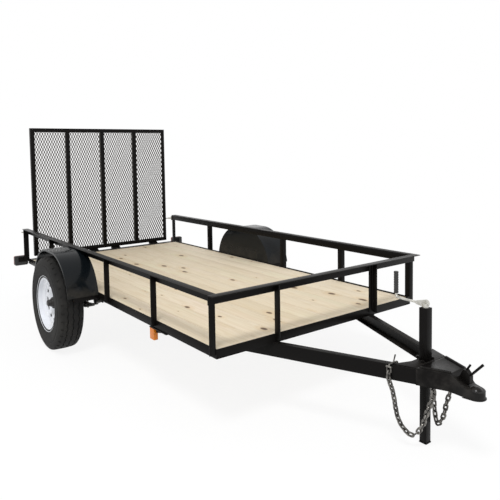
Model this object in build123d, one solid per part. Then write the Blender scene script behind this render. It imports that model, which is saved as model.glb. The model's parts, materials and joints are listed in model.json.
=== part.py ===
from build123d import *
import math
import os

# A single-axle utility trailer: angle-iron deck frame with open top rails, plank deck,
# drop-down mesh gate at the rear, two wheels on leaf springs, and an A-frame tongue with
# a ball coupler, a top-wind jack and two safety chains.
# Millimetres. +X runs forward to the coupler, +Y is the trailer's left, +Z is up, z = 0 is
# the ground. Lengths along X are counted from the axle; save() moves every piece so that
# the finished trailer's origin is the middle of its footprint box.

# ---- deck frame ----
FRAME_LENGTH = 3184.0
FRAME_WIDTH = 1567.0
AXLE_TO_FRONT = 1880.0      # axle to the front face of the frame
FRAME_LEG = 51.0            # upright leg of the frame angle
FRAME_FOOT = 51.0           # flat leg of the frame angle, carries the planks
ANGLE_T = 5.0               # wall of the frame, rail and post angles
ROOT = 4.0                  # fillet inside every angle
REAR_TOP = 76.0             # flat top leg of the rear beam
CROSS_LEG = 38.0            # cross member angle, both legs
CROSS_COUNT = 4

# ---- planks ----
BOARD_T = 38.0
BOARD_COUNT = 11
BOARD_GAP = 2.0
BOARD_CLEAR = ROOT + 1.0    # planks to the frame's upright legs

# ---- posts and top rail ----
POST_LEG = 38.0
POST_RISE = 22.0            # underside of the frame to the lower end of each post
RAIL_RISE = 334.0           # underside of the frame to the top of the rail
RAIL_LEG = 51.0
SIDE_POST_X = (1257.0, 584.0, -550.0)    # posts between the two corner posts of a side
FRONT_POST_Y = 383.0        # trailer centre line to the middle of each front post

# ---- wheels, tyres and hubs ----
TYRE_R = 344.0
TYRE_W = 188.0
TREAD_W = 146.0
TREAD_SHOULDER = 24.0       # width of the bevel between tread and wall
TREAD_DROP = 6.0            # how far that bevel falls
WHEEL_OUT = 172.0           # side of the frame to the middle of the tyre
RIM_SEAT_R = 190.5          # bead seat
RIM_LIP_R = 207.0
RIM_FLANGE = 8.0            # how far the rim's flange turns out
RIM_WALL = 3.0
RIM_HALF = 76.0             # half the width between the flanges
DROP_R = 166.0              # drop centre
WINDOW_COUNT = 12
WINDOW_R = 132.0            # circle of the disc's windows
WINDOW_D = (34.0, 20.0)     # length round the circle and width of a window
HUB_BOLT_R = 57.15
HUB_BOLTS = 5
HUB_FLANGE_R = 74.0
HUB_BARREL_R = 34.0
HUB_SEAT = 4.2              # middle of the wheel to the hub flange's outer face
STUD_R = 6.0
NUT_R = 10.0
CENTRE_BORE_R = 41.0

# ---- axle and springs ----
AXLE_R = 30.0
SPINDLE_R = 15.0
SPINDLE_START = 76.0        # middle of the wheel back to the end of the axle tube
RUN_CLEAR = 0.3             # between a spindle and its hub, a pin and its eye
SPRING_IN = 25.0            # side of the frame to the middle of a spring
SPRING_W = 45.0
SPRING_SPAN = 642.0         # eye to eye
SPRING_CAMBER = 62.0
LEAF_T = 7.0
LEAF_RATIOS = (1.0, 0.80, 0.58, 0.36)    # length of each leaf over the main leaf's
EYE_R = 15.0
EYE_PIN_R = 7.0
EYE_UNDER_FRAME = 12.0      # top of a spring eye to the underside of the frame
PLATE_T = 6.0
U_BOLT_R = 5.0
CHEEK_GAP = 1.0             # spring to each cheek of its hangers

# ---- fenders ----
FENDER_ROOM = 44.0          # tyre to the fender's front or rear edge
FENDER_FLAT = 116.0         # straight part of the top
FENDER_SKIRT = 34.0         # underside of the frame up to the fender's lower edge
FENDER_W = 222.0
FENDER_LIP = 13.0
FENDER_T = 2.0
STAY_LEG = 30.0             # angle under each end of a fender
STAY_T = 4.0

# ---- tongue ----
TONGUE_H = 76.0
TONGUE_FLANGE = 38.0
TONGUE_T = 5.0
TONGUE_REACH = 938.5        # front face of the frame to the middle of the ball
TONGUE_INSET = 120.0        # side of the frame to a member's outer face at its rear end
APEX_BACK = 24.0            # ball to where the members' outer faces are as wide as the nose
BALL_DROP = 71.0            # underside of the frame down to the ball's middle
BALL_R = 25.4
SOCKET_CLEAR = 0.8
SOCKET_DEPTH = 20.0         # ball centre to the coupler's lower edge
COUPLER_T = 6.0
COUPLER_LENGTH = 234.0      # ball to the coupler's rear edge
COUPLER_BEND = 96.0         # ball to the bend where the coupler's top starts down
NOSE_R = 34.0
NOSE_LIP = 5.0              # width of the flange turned out along the nose's lower edge
RIB_R = 9.0                 # pressed ribs on the coupler's top
LATCH_BACK = 50.0           # ball to the middle of the latch
LATCH_W = 28.0
LEVER_T = 8.0

# ---- jack ----
JACK_BACK = 269.5           # ball to the middle of the jack
JACK_TUBE = 44.0
JACK_TUBE_T = 2.5
JACK_RISE = 267.0           # top of the tongue to the top of the tube
JACK_UNDER = 10.0           # how far the tube reaches below the tongue
JACK_LEG = 38.0
JACK_TRAVEL = 225.0
JACK_REACH = 25.0           # how much further the leg can still wind down
JACK_HOLD = 84.0            # least length of leg inside the tube
JACK_CAP_T = 10.0
FOOT_T = 6.0
FOOT = 42.0
CRANK_ARM = 176.0
CRANK_HEAD_R = 18.0
CRANK_T = 16.0
CRANK_BAR_R = 6.0
GRIP_H = 112.0
GRIP_R = 12.0

# ---- gate ----
GATE_SIDE_GAP = 67.0        # side of the frame to the gate's edge
GATE_LIFT = 16.0            # top of the planks to the gate's lower edge
GATE_HEIGHT = 1226.0
GATE_LEG = 38.0
GATE_T = 4.0
MESH_CLEAR = GATE_T + ROOT + 0.5        # corner of a gate angle to the mesh beside it
GATE_GAP = 16.0             # between the rear beam and the gate's face
GATE_UPRIGHTS = 3
MESH_T = 3.0
DIAMOND_W = 92.0
DIAMOND_H = 196.0
STRAND = 9.0
HINGE_R = 13.0
HINGE_PIN_R = 7.0
HINGE_Y = (560.0, 120.0)    # centre line to the middle of each hinge, both sides
HINGE_L = 70.0
HINGE_BACK = 28.0           # gate's face to the hinge line
LUG_T = 8.0
LATCH_DROP = 34.0           # top of the rail to the middle of a gate latch
LATCH_BACK_X = 22.0         # rear of the frame to the middle of a gate latch
BARREL_R = 9.0
BOLT_R = 6.0

# ---- lights ----
LAMP_W = 120.0
LAMP_H = 88.0
LAMP_D = 42.0
LAMP_DROP = 9.0             # underside of the frame down to a lamp's lower edge
LAMP_ROUND = 14.0
LAMP_PLATE_T = 4.0
LENS_T = 16.0
MARKER_BACK = 59.0          # first side post back to the middle of the marker
MARKER_L = 50.0
MARKER_H = 70.0
MARKER_D = 28.0
MARKER_OUT = 6.0            # how far a marker stands out from the side of the frame
MARKER_PLATE_T = 6.0
MARKER_ARM = 150.0          # length of a marker's plate ahead of the marker

# ---- safety chains ----
WIRE = 7.0
LINK_PITCH = 26.0
LINK_W = 25.0
LINK_CLEAR = 0.4            # slack at each end of a link
CHAIN_OUT = 15.0            # member's outer face to a chain that hangs beside it
EYE_BACK = 174.0            # ball to the eyes under the members
EYE_DROP = 20.0             # member's underside to the middle of an eye's wire
HOOK_R = 4.5
HOOK_BEND = 9.0
BOW = 11.0                  # half the width of an eye and of a hook's bow
BOW_H = 26.0

# ---- places worked out from the sizes above ----
X_FRONT = AXLE_TO_FRONT
X_REAR = AXLE_TO_FRONT - FRAME_LENGTH
Y_SIDE = FRAME_WIDTH / 2
WHEEL_Y = Y_SIDE + WHEEL_OUT
SPRING_Y = Y_SIDE - SPRING_IN
GATE_HALF = Y_SIDE - GATE_SIDE_GAP
LEAF_BASE = TYRE_R - AXLE_R - LEAF_T          # underside of the main leaf below the axle
EYE_Z = LEAF_BASE + SPRING_CAMBER + EYE_R
FRAME_BOTTOM = EYE_Z + EYE_R + EYE_UNDER_FRAME
BOARD_BOTTOM = FRAME_BOTTOM + ANGLE_T
DECK_TOP = BOARD_BOTTOM + BOARD_T
POST_BOTTOM = FRAME_BOTTOM + POST_RISE
RAIL_TOP = FRAME_BOTTOM + RAIL_RISE
Y_RAIL = Y_SIDE - ANGLE_T + RAIL_LEG          # outer edge of the side rails
POST_TOP = RAIL_TOP - ANGLE_T - ROOT
CROSS_PITCH = FRAME_LENGTH / (CROSS_COUNT + 1)
FENDER_HALF = TYRE_R + FENDER_ROOM
FENDER_TOP = RAIL_TOP - ANGLE_T - ROOT - 0.5  # just clear of the rail's root
FENDER_CORNER = FENDER_HALF - FENDER_FLAT / 2
FENDER_BOTTOM = FRAME_BOTTOM + FENDER_SKIRT
BALL_X = X_FRONT + TONGUE_REACH
BALL_Z = FRAME_BOTTOM - BALL_DROP
COUPLER_BOTTOM = BALL_Z - SOCKET_DEPTH
COUPLER_BACK_X = BALL_X - COUPLER_LENGTH
NOSE_OUT = NOSE_R + COUPLER_T                 # outer radius of the nose
TONGUE_TOP = FRAME_BOTTOM
TONGUE_BOTTOM = FRAME_BOTTOM - TONGUE_H
TONGUE_BACK_X = X_FRONT - CROSS_PITCH + ANGLE_T + ROOT + 0.5   # ends against a cross member
TONGUE_APEX_X = BALL_X - APEX_BACK
SLOPE = math.atan((Y_SIDE - TONGUE_INSET - NOSE_R) / (TONGUE_APEX_X - TONGUE_BACK_X))
FLANGE_RUN = TONGUE_FLANGE / math.cos(SLOPE)  # width of a member's flange along Y
JACK_X = BALL_X - JACK_BACK
JACK_TUBE_TOP = TONGUE_TOP + JACK_RISE
JACK_TUBE_BOTTOM = TONGUE_BOTTOM - JACK_UNDER
CRANK_Z = JACK_TUBE_TOP + CRANK_HEAD_R + 2    # middle of the crank's head
GATE_BOTTOM = DECK_TOP + GATE_LIFT
GATE_TOP = GATE_BOTTOM + GATE_HEIGHT
GATE_X = X_REAR - GATE_GAP
HINGE_X = GATE_X - HINGE_BACK
HINGE_Z = GATE_BOTTOM - HINGE_R
LAMP_Z = FRAME_BOTTOM - LAMP_DROP
LAMP_X = X_REAR - LAMP_PLATE_T                # front face of a lamp
MARKER_X = SIDE_POST_X[0] - MARKER_BACK
NOSE_X = BALL_X + NOSE_OUT + NOSE_LIP
X_MIDDLE = (NOSE_X + HINGE_X - HINGE_R) / 2


def save(node, shapes):
    """Write one node: a solid or a list of solids that don't touch each other."""
    solids = []
    for shape in shapes if isinstance(shapes, list) else [shapes]:
        solids += shape.solids()
    placed = [solid.moved(Location((-X_MIDDLE, 0, 0))) for solid in solids]
    export_step(Compound(placed) if len(placed) > 1 else placed[0], f"parts/{node}.step")


def block(x0, x1, y0, y1, z0, z1):
    """Box between two corners, given in any order."""
    centre = Pos((x0 + x1) / 2, (y0 + y1) / 2, (z0 + z1) / 2)
    return centre * Box(abs(x1 - x0), abs(y1 - y0), abs(z1 - z0))


def rod(start, end, radius):
    """Round bar from one point to another."""
    run = Vector(*end) - Vector(*start)
    return extrude(Plane(origin=start, z_dir=run) * Circle(radius), amount=run.length)


def bent_bar(points, bend, radius):
    """Round bar bent along a line of points."""
    path = FilletPolyline(*[Vector(*point) for point in points], radius=bend)
    return sweep(Plane(origin=path @ 0, z_dir=path % 0) * Circle(radius), path=path)


def angle_bar(start, end, leg_a, leg_b, a, b, wall=ANGLE_T):
    """Angle iron whose outer corner runs from start to end; leg_a and leg_b point along its legs."""
    first, run = Vector(*start), Vector(*end) - Vector(*start)
    if run.cross(Vector(*leg_a)).dot(Vector(*leg_b)) < 0:
        first, run = first + run, run * -1
    outline = Polygon((0, 0), (a, 0), (a, wall), (wall, wall), (wall, b), (0, b), align=None)
    root = outline.vertices().sort_by_distance((wall, wall, 0))[0]
    outline = fillet(root, ROOT)
    return extrude(Plane(origin=first, x_dir=leg_a, z_dir=run) * outline, amount=run.length)


def mirrored(shapes):
    """The same pieces on the other side of the centre line."""
    return [mirror(shape, about=Plane.XZ) for shape in shapes]


# ---------------------------------------------------------------- frame and deck

def frame_side():
    """Right-hand side angle: upright leg outside, flat leg inward under the planks."""
    return angle_bar((X_REAR, -Y_SIDE, FRAME_BOTTOM), (X_FRONT, -Y_SIDE, FRAME_BOTTOM),
                     (0, 1, 0), (0, 0, 1), FRAME_FOOT, FRAME_LEG)


def front_beam():
    """Front angle, its flat leg coped to fit between the side angles' flat legs."""
    reach = Y_SIDE - ANGLE_T
    beam = angle_bar((X_FRONT, -reach, FRAME_BOTTOM), (X_FRONT, reach, FRAME_BOTTOM),
                     (-1, 0, 0), (0, 0, 1), FRAME_FOOT, FRAME_LEG)
    for side in (-1, 1):
        beam -= block(X_FRONT, X_FRONT - FRAME_FOOT, side * reach, side * (Y_SIDE - FRAME_FOOT),
                      FRAME_BOTTOM, BOARD_BOTTOM + ROOT)
    return beam


def rear_beam():
    """Rear angle, its wide leg flat at deck level and the other standing on the side angles."""
    reach = Y_SIDE - ANGLE_T
    beam = angle_bar((X_REAR, -reach, DECK_TOP), (X_REAR, reach, DECK_TOP),
                     (1, 0, 0), (0, 0, -1), REAR_TOP, BOARD_T)
    for side in (-1, 1):
        beam -= block(X_REAR, X_REAR + ANGLE_T * 2, side * reach, side * (reach - ROOT),
                      BOARD_BOTTOM, BOARD_BOTTOM + ROOT)
    return beam


def cross_members():
    """Angles across the frame, their flat legs carrying the planks."""
    reach = Y_SIDE - FRAME_FOOT
    bars = []
    for index in range(CROSS_COUNT):
        x = X_FRONT - CROSS_PITCH * (index + 1)
        bars.append(angle_bar((x, -reach, BOARD_BOTTOM), (x, reach, BOARD_BOTTOM),
                              (1, 0, 0), (0, 0, -1), CROSS_LEG, CROSS_LEG))
    return bars


def deck_boards():
    """Planks lying lengthwise on the frame's flat legs and the cross members."""
    inside = FRAME_WIDTH - 2 * (ANGLE_T + BOARD_CLEAR)
    width = (inside - BOARD_GAP * (BOARD_COUNT - 1)) / BOARD_COUNT
    back, front = X_REAR + REAR_TOP + BOARD_GAP, X_FRONT - ANGLE_T - BOARD_CLEAR
    boards = []
    for index in range(BOARD_COUNT):
        y = -inside / 2 + index * (width + BOARD_GAP)
        boards.append(block(back, front, y, y + width, BOARD_BOTTOM, DECK_TOP))
    return boards


# ---------------------------------------------------------------- posts and rails

def side_posts():
    """Right-hand posts: angles outside the frame, from the frame up to the top rail."""
    posts = []
    for x, away in [(X_FRONT - ANGLE_T, -1), (X_REAR, 1)] + [(x, -1) for x in SIDE_POST_X]:
        posts.append(angle_bar((x, -Y_SIDE, POST_BOTTOM), (x, -Y_SIDE, POST_TOP),
                               (0, -1, 0), (away, 0, 0), POST_LEG, POST_LEG))
    return posts


def front_posts():
    """Two posts outside the front beam, over the tongue members."""
    posts = []
    for side in (-1, 1):
        y = side * (FRONT_POST_Y + POST_LEG / 2)
        posts.append(angle_bar((X_FRONT, y, POST_BOTTOM), (X_FRONT, y, POST_TOP),
                               (1, 0, 0), (0, -side, 0), POST_LEG, POST_LEG))
    return posts


def side_rail():
    """Right-hand top rail: upright leg in line with the frame, flat leg outward over the posts."""
    y = -Y_SIDE + ANGLE_T
    return angle_bar((X_REAR, y, RAIL_TOP), (X_FRONT - ANGLE_T, y, RAIL_TOP),
                     (0, -1, 0), (0, 0, -1), RAIL_LEG, RAIL_LEG)


def front_rail():
    """Front top rail, running across the ends of the side rails."""
    x = X_FRONT - ANGLE_T
    return angle_bar((x, -Y_RAIL, RAIL_TOP), (x, Y_RAIL, RAIL_TOP),
                     (1, 0, 0), (0, 0, -1), RAIL_LEG, RAIL_LEG)


# ---------------------------------------------------------------- wheels

def wheel_revolve(points):
    """Turn a closed outline of (offset along the axle, radius) about the right wheel's axis."""
    outline = Plane.YZ * Polygon(*points, align=None)
    turned = revolve(outline, Axis.Y, 360)
    return Pos(0, -WHEEL_Y, TYRE_R) * turned


def tyre():
    """Tyre with a crowned tread, rounded shoulders and bulged walls that end at the rim flanges."""
    half, tread = TYRE_W / 2, TREAD_W / 2
    wall_r = (TYRE_R + RIM_LIP_R) / 2
    bead, foot = RIM_HALF - 0.5, RIM_HALF + RIM_FLANGE - 0.5
    seat, lip = RIM_SEAT_R + 0.5, RIM_LIP_R + 1
    edge, crown = TYRE_R - TREAD_DROP, tread - TREAD_SHOULDER
    with BuildSketch(Plane.YZ) as outline:
        with BuildLine():
            Line((-bead, seat), (bead, seat))
            Line((bead, seat), (bead, lip))
            Line((bead, lip), (foot, lip))
            ThreePointArc((foot, lip), (half, wall_r), (tread, edge))
            Line((tread, edge), (crown, TYRE_R))
            Line((crown, TYRE_R), (-crown, TYRE_R))
            Line((-crown, TYRE_R), (-tread, edge))
            ThreePointArc((-tread, edge), (-half, wall_r), (-foot, lip))
            Line((-foot, lip), (-bead, lip))
            Line((-bead, lip), (-bead, seat))
        make_face()
    return Pos(0, -WHEEL_Y, TYRE_R) * revolve(outline.sketch, Axis.Y, 360)


def rim():
    """Pressed rim with drop centre, welded to a dished disc with a ring of windows."""
    out, wall, turn_out = RIM_HALF, RIM_WALL, RIM_FLANGE
    barrel = wheel_revolve([
        (-out - turn_out, RIM_LIP_R), (-out, RIM_LIP_R), (-out, RIM_SEAT_R), (-48, RIM_SEAT_R - 2),
        (-34, DROP_R), (18, DROP_R), (40, RIM_SEAT_R - 2), (out, RIM_SEAT_R), (out, RIM_LIP_R),
        (out + turn_out, RIM_LIP_R), (out + turn_out, RIM_LIP_R - wall), (out + wall, RIM_LIP_R - wall),
        (out + wall, RIM_SEAT_R - wall), (41, RIM_SEAT_R - 2 - wall), (19, DROP_R - wall),
        (-35, DROP_R - wall), (-49, RIM_SEAT_R - 2 - wall), (-out - wall, RIM_SEAT_R - wall),
        (-out - wall, RIM_LIP_R - wall), (-out - turn_out, RIM_LIP_R - wall)])
    disc = wheel_revolve([
        (-32, DROP_R - wall), (-32, DROP_R - 14), (-20, 112), (-2, 92), (-2, CENTRE_BORE_R),
        (4, CENTRE_BORE_R), (4, 94), (-15, 117), (-26, DROP_R - 12), (-26, DROP_R - wall)])
    axis = Pos(0, -WHEEL_Y, TYRE_R)
    for index in range(WINDOW_COUNT):
        turn = Rot(0, 360 / WINDOW_COUNT * index, 0)
        slot = extrude(Plane.XZ * SlotOverall(WINDOW_D[0], WINDOW_D[1]), amount=60, both=True)
        disc -= axis * turn * Pos(0, 0, WINDOW_R) * slot
    for index in range(HUB_BOLTS):
        turn = Rot(0, 360 / HUB_BOLTS * index, 0)
        hole = extrude(Plane.XZ * Circle(8), amount=60, both=True)
        disc -= axis * turn * Pos(0, 0, HUB_BOLT_R) * hole
    return barrel + disc


def hub():
    """Hub with a wheel flange, five studs with nuts and a dust cap; its blind bore runs on the spindle."""
    inner = HUB_BARREL_R - 4
    bore = SPINDLE_R + RUN_CLEAR
    body = wheel_revolve([
        (60, 0), (60, inner), (16, HUB_BARREL_R), (16, HUB_FLANGE_R), (HUB_SEAT, HUB_FLANGE_R),
        (HUB_SEAT, HUB_BARREL_R + 3), (-28, HUB_BARREL_R), (-46, inner), (-46, inner - 5),
        (-66, inner - 6), (-72, inner - 14), (-72, 0)])
    body -= rod((0, -WHEEL_Y + 70, TYRE_R), (0, -WHEEL_Y - 44, TYRE_R), bore)
    axis = Pos(0, -WHEEL_Y, TYRE_R)
    for index in range(HUB_BOLTS):
        turn = axis * Rot(0, 360 / HUB_BOLTS * index, 0) * Pos(0, 0, HUB_BOLT_R)
        stud = rod((0, HUB_SEAT, 0), (0, -24, 0), STUD_R)
        nut = Pos(0, -2.2, 0) * extrude(Plane.XZ * RegularPolygon(NUT_R, 6), amount=15)
        body += turn * stud
        body += turn * nut
    return body


# ---------------------------------------------------------------- axle and suspension

def axle_beam():
    """Round axle tube with a spindle on each end."""
    tube_end = WHEEL_Y - SPINDLE_START
    bar = rod((0, -tube_end, TYRE_R), (0, tube_end, TYRE_R), AXLE_R)
    for side in (-1, 1):
        bar += rod((0, side * tube_end, TYRE_R), (0, side * (WHEEL_Y + 36), TYRE_R), SPINDLE_R)
    return bar


def spring_level(x):
    """Height of the main leaf's underside at a distance from the axle."""
    radius = (SPRING_SPAN ** 2 / 4 + SPRING_CAMBER ** 2) / (2 * SPRING_CAMBER)
    return LEAF_BASE + radius - math.sqrt(radius ** 2 - x ** 2)


def leaf(ratio, drop):
    """One curved leaf; drop is how far below the main leaf it lies."""
    half = SPRING_SPAN / 2 * ratio
    end = spring_level(half) - drop
    top = spring_level(half) - drop + LEAF_T
    mid = LEAF_BASE - drop
    with BuildSketch(Plane.XZ) as outline:
        with BuildLine():
            ThreePointArc((-half, end), (0, mid), (half, end))
            Line((half, end), (half, top))
            ThreePointArc((half, top), (0, mid + LEAF_T), (-half, top))
            Line((-half, top), (-half, end))
        make_face()
    return Pos(0, -SPRING_Y + SPRING_W / 2, 0) * extrude(outline.sketch, amount=SPRING_W)


def leaf_spring():
    """Right-hand spring: leaves stacked below the axle, the main leaf rolled into two eyes."""
    stack = leaf(LEAF_RATIOS[0], 0)
    for index, ratio in enumerate(LEAF_RATIOS[1:], 1):
        stack += leaf(ratio, index * LEAF_T)
    y0, y1 = -SPRING_Y - SPRING_W / 2, -SPRING_Y + SPRING_W / 2
    for side in (-1, 1):
        x = side * (SPRING_SPAN / 2)
        stack += rod((x, y0, EYE_Z), (x, y1, EYE_Z), EYE_R)
        stack -= rod((x, y0, EYE_Z), (x, y1, EYE_Z), EYE_PIN_R + RUN_CLEAR)
    return stack


def spring_hangers():
    """Right-hand hangers: a pair of cheeks and a pin at each spring eye."""
    pieces = []
    low, head = EYE_Z - EYE_R - 3, PLATE_T + 6
    half = SPRING_W / 2 + CHEEK_GAP
    for side in (-1, 1):
        x = side * SPRING_SPAN / 2
        profile = Polygon((-16, low), (16, low), (34, FRAME_BOTTOM), (-34, FRAME_BOTTOM), align=None)
        hanger = rod((x, -SPRING_Y - half - head, EYE_Z), (x, -SPRING_Y + half + head, EYE_Z), EYE_PIN_R)
        for y in (-SPRING_Y - half, -SPRING_Y + half + PLATE_T):
            hanger += Pos(x, y, 0) * extrude(Plane.XZ * profile, amount=PLATE_T)
        pieces.append(hanger)
    return pieces


def spring_clamps():
    """Right-hand clamp: a seat plate under the spring and two U-bolts over the axle."""
    base = LEAF_BASE - (len(LEAF_RATIOS) - 1) * LEAF_T - RUN_CLEAR
    bolt_y = SPRING_W / 2 + U_BOLT_R + 0.5
    bend = AXLE_R + U_BOLT_R + 2
    half = bolt_y + U_BOLT_R + 4
    clamp = block(-48, 48, -SPRING_Y - half, -SPRING_Y + half, base - PLATE_T, base)
    for y in (-SPRING_Y - bolt_y, -SPRING_Y + bolt_y):
        for x in (-bend, bend):
            clamp += rod((x, y, base - 20), (x, y, TYRE_R), U_BOLT_R)
        ring = Pos(0, y, TYRE_R) * Rot(90, 0, 0) * Torus(bend, U_BOLT_R)
        clamp += ring & block(-60, 60, y - 8, y + 8, TYRE_R, TYRE_R + 60)
    return clamp


# ---------------------------------------------------------------- fenders

def fender_outline(inset):
    """Side outline of a fender, moved inward by inset: two arcs and a straight top."""
    bend, radius = FENDER_FLAT / 2, FENDER_CORNER - inset
    level = FENDER_TOP - FENDER_CORNER
    outline = Pos(0, level + radius / 2) * Rectangle(FENDER_FLAT, radius)
    for side in (-1, 1):
        outline += Pos(side * bend, level) * Circle(radius)
    width = 2 * (bend + radius)
    return Plane.XZ * (outline & Pos(0, FENDER_BOTTOM + width / 2) * Rectangle(width, width))


def fender():
    """Right-hand fender: rolled sheet with a closed back plate and a turned-down outer lip."""
    skin = Pos(0, -Y_SIDE, 0) * extrude(fender_outline(0), amount=FENDER_W)
    hollow = extrude(fender_outline(FENDER_T), amount=FENDER_W - 2 * FENDER_T)
    mouth = extrude(fender_outline(FENDER_LIP), amount=FENDER_W)
    return skin - Pos(0, -Y_SIDE - FENDER_T, 0) * hollow - Pos(0, -Y_SIDE - FENDER_T, 0) * mouth


def fender_brackets():
    """Right-hand stays: an angle from the frame's side under each end of the fender."""
    pieces = []
    for side in (-1, 1):
        x = side * (FENDER_HALF + 1)
        pieces.append(angle_bar((x, -Y_SIDE, FENDER_BOTTOM), (x, -Y_SIDE - FENDER_W * 0.8, FENDER_BOTTOM),
                                (-side, 0, 0), (0, 0, -1), STAY_LEG, STAY_LEG, STAY_T))
    return pieces


# ---------------------------------------------------------------- tongue and coupler

def member_y(x):
    """Distance from the centre line to a tongue member's outer face."""
    return NOSE_R + (TONGUE_APEX_X - x) * math.tan(SLOPE)


def tongue_member():
    """Right-hand tongue member: a channel under the frame, its web outside."""
    back_x = TONGUE_BACK_X - TONGUE_FLANGE
    start = (back_x, -member_y(back_x), TONGUE_BOTTOM)
    front_x = BALL_X - COUPLER_BEND - 2 - TONGUE_FLANGE * math.sin(SLOPE)
    run = (front_x - back_x) / math.cos(SLOPE)
    t, w, h = TONGUE_T, TONGUE_FLANGE, TONGUE_H
    outline = Polygon((0, 0), (w, 0), (w, t), (t, t), (t, h - t), (w, h - t), (w, h), (0, h), align=None)
    along = Vector(math.cos(SLOPE), math.sin(SLOPE), 0)
    inward = Vector(-math.sin(SLOPE), math.cos(SLOPE), 0)
    plane = Plane(origin=start, x_dir=inward, z_dir=along)
    member = extrude(plane * outline, amount=run)
    return member - block(TONGUE_BACK_X, back_x - TONGUE_FLANGE, -Y_SIDE * 2, 0, 0, TONGUE_TOP + 1)


def tongue_plate():
    """Plate across the members that carries the jack, its rear edge cut back between them."""
    x0, x1 = JACK_X - 70, COUPLER_BACK_X - 3
    y0, y1 = member_y(x0) - 2, member_y(x1) - 2
    notch = (JACK_X - JACK_TUBE / 2 - 12, y0 * 0.4)
    outline = Polygon((x0, -y0), (x1, -y1), (x1, y1), (x0, y0), notch, (notch[0], -notch[1]), align=None)
    plate = Pos(0, 0, TONGUE_TOP) * extrude(outline, amount=PLATE_T)
    hole = JACK_TUBE / 2 + RUN_CLEAR
    return plate - block(JACK_X - hole, JACK_X + hole, -hole, hole, TONGUE_TOP - 1, TONGUE_TOP + PLATE_T + 1)


def coupler_plan(grow, back):
    """Plan of the coupler from its rear edge to the round nose, moved outward by grow."""
    rear, waist = member_y(back) + COUPLER_T + grow, member_y(BALL_X - 40) + COUPLER_T + grow
    nose = NOSE_OUT + grow
    plan = Polygon((back, -rear), (BALL_X - 40, -waist), (BALL_X, -nose), (BALL_X, nose),
                   (BALL_X - 40, waist), (back, rear), align=None)
    return plan + Pos(BALL_X, 0) * Circle(nose)


def coupler_shell(grow):
    """Outer form of the coupler's pressing: its plan cut by its side outline, moved outward by grow."""
    back = COUPLER_BACK_X - (40 if grow < 0 else 0)
    body = Pos(0, 0, COUPLER_BOTTOM - 20) * extrude(coupler_plan(grow, back), amount=200)
    top, nose = TONGUE_TOP + COUPLER_T + grow, BALL_Z + 24 + grow
    low = COUPLER_BOTTOM - (10 if grow < 0 else 0)
    flank = TONGUE_BOTTOM - (10 if grow < 0 else 0)
    bend = BALL_X - COUPLER_BEND
    profile = Polygon((back - 5, flank), (bend, flank), (BALL_X - 30, low), (NOSE_X + 5, low),
                      (NOSE_X + 5, nose - 10), (BALL_X - 30, nose), (bend, top), (back - 5, top), align=None)
    return body & (Pos(0, 200, 0) * extrude(Plane.XZ * profile, amount=400))


def coupler_rib():
    """Right-hand rib pressed up along the edge of the coupler's top."""
    x0, x1 = COUPLER_BACK_X + 14, BALL_X - COUPLER_BEND - 6
    z = TONGUE_TOP + COUPLER_T
    inset = RIB_R + 4
    bar = rod((x0, -member_y(x0) + inset, z), (x1, -member_y(x1) + inset, z), RIB_R)
    ends = [Pos(x, -member_y(x) + inset, z) * Sphere(RIB_R) for x in (x0, x1)]
    rib = bar + ends[0] + ends[1]
    return rib & block(x0 - RIB_R, x1 + RIB_R, -Y_SIDE, 0, z - 1, z + RIB_R)


def coupler():
    """Pressed coupler: hollow, with ribs along its top, a domed ball socket and a turned-out lip."""
    body = coupler_shell(0) - coupler_shell(-COUPLER_T)
    for rib in [coupler_rib()] + mirrored([coupler_rib()]):
        body += rib
    socket = BALL_R + SOCKET_CLEAR
    body += Pos(BALL_X, 0, BALL_Z) * (Sphere(socket + COUPLER_T) & block(-60, 60, -60, 60, 0, 60))
    body += Pos(BALL_X, 0, COUPLER_BOTTOM) * extrude(Circle(NOSE_OUT), amount=SOCKET_DEPTH)
    lip = coupler_plan(NOSE_LIP, BALL_X - NOSE_R) - coupler_plan(-COUPLER_T / 2, BALL_X - NOSE_R - 1)
    body += Pos(0, 0, COUPLER_BOTTOM) * extrude(lip, amount=COUPLER_T / 2)
    body -= Pos(BALL_X, 0, BALL_Z) * Sphere(socket)
    body -= Pos(BALL_X, 0, COUPLER_BOTTOM - 5) * extrude(Circle(socket), amount=SOCKET_DEPTH + 5)
    return body


def coupler_latch():
    """Latch on the coupler: a housing, a lever laid forward over the nose and a lock pin."""
    x, z = BALL_X - LATCH_BACK, TONGUE_TOP
    side = Polygon((x - 28, z - 34), (x + 26, z - 34), (x + 26, z + 4), (x + 6, z + 26),
                   (x - 8, z + 26), (x - 26, z - 10), align=None)
    latch = Pos(0, LATCH_W / 2, 0) * extrude(Plane.XZ * side, amount=LATCH_W)
    lever = Polygon((x + 4, z - 8), (x + 18, z - 8), (x + 86, z + 66), (x + 78, z + 74), align=None)
    latch += Pos(0, LEVER_T / 2, 0) * extrude(Plane.XZ * lever, amount=LEVER_T)
    latch += rod((x, 0, z + 20), (x + 20, 0, z + 52), 5)
    return latch - coupler_shell(0)


# ---------------------------------------------------------------- jack

def jack_tube():
    """Square outer tube of the jack with a cap."""
    half, inner = JACK_TUBE / 2, JACK_TUBE / 2 - JACK_TUBE_T
    tube = block(JACK_X - half, JACK_X + half, -half, half, JACK_TUBE_BOTTOM, JACK_TUBE_TOP)
    return tube - block(JACK_X - inner, JACK_X + inner, -inner, inner,
                        JACK_TUBE_BOTTOM - 1, JACK_TUBE_TOP - JACK_CAP_T)


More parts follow.
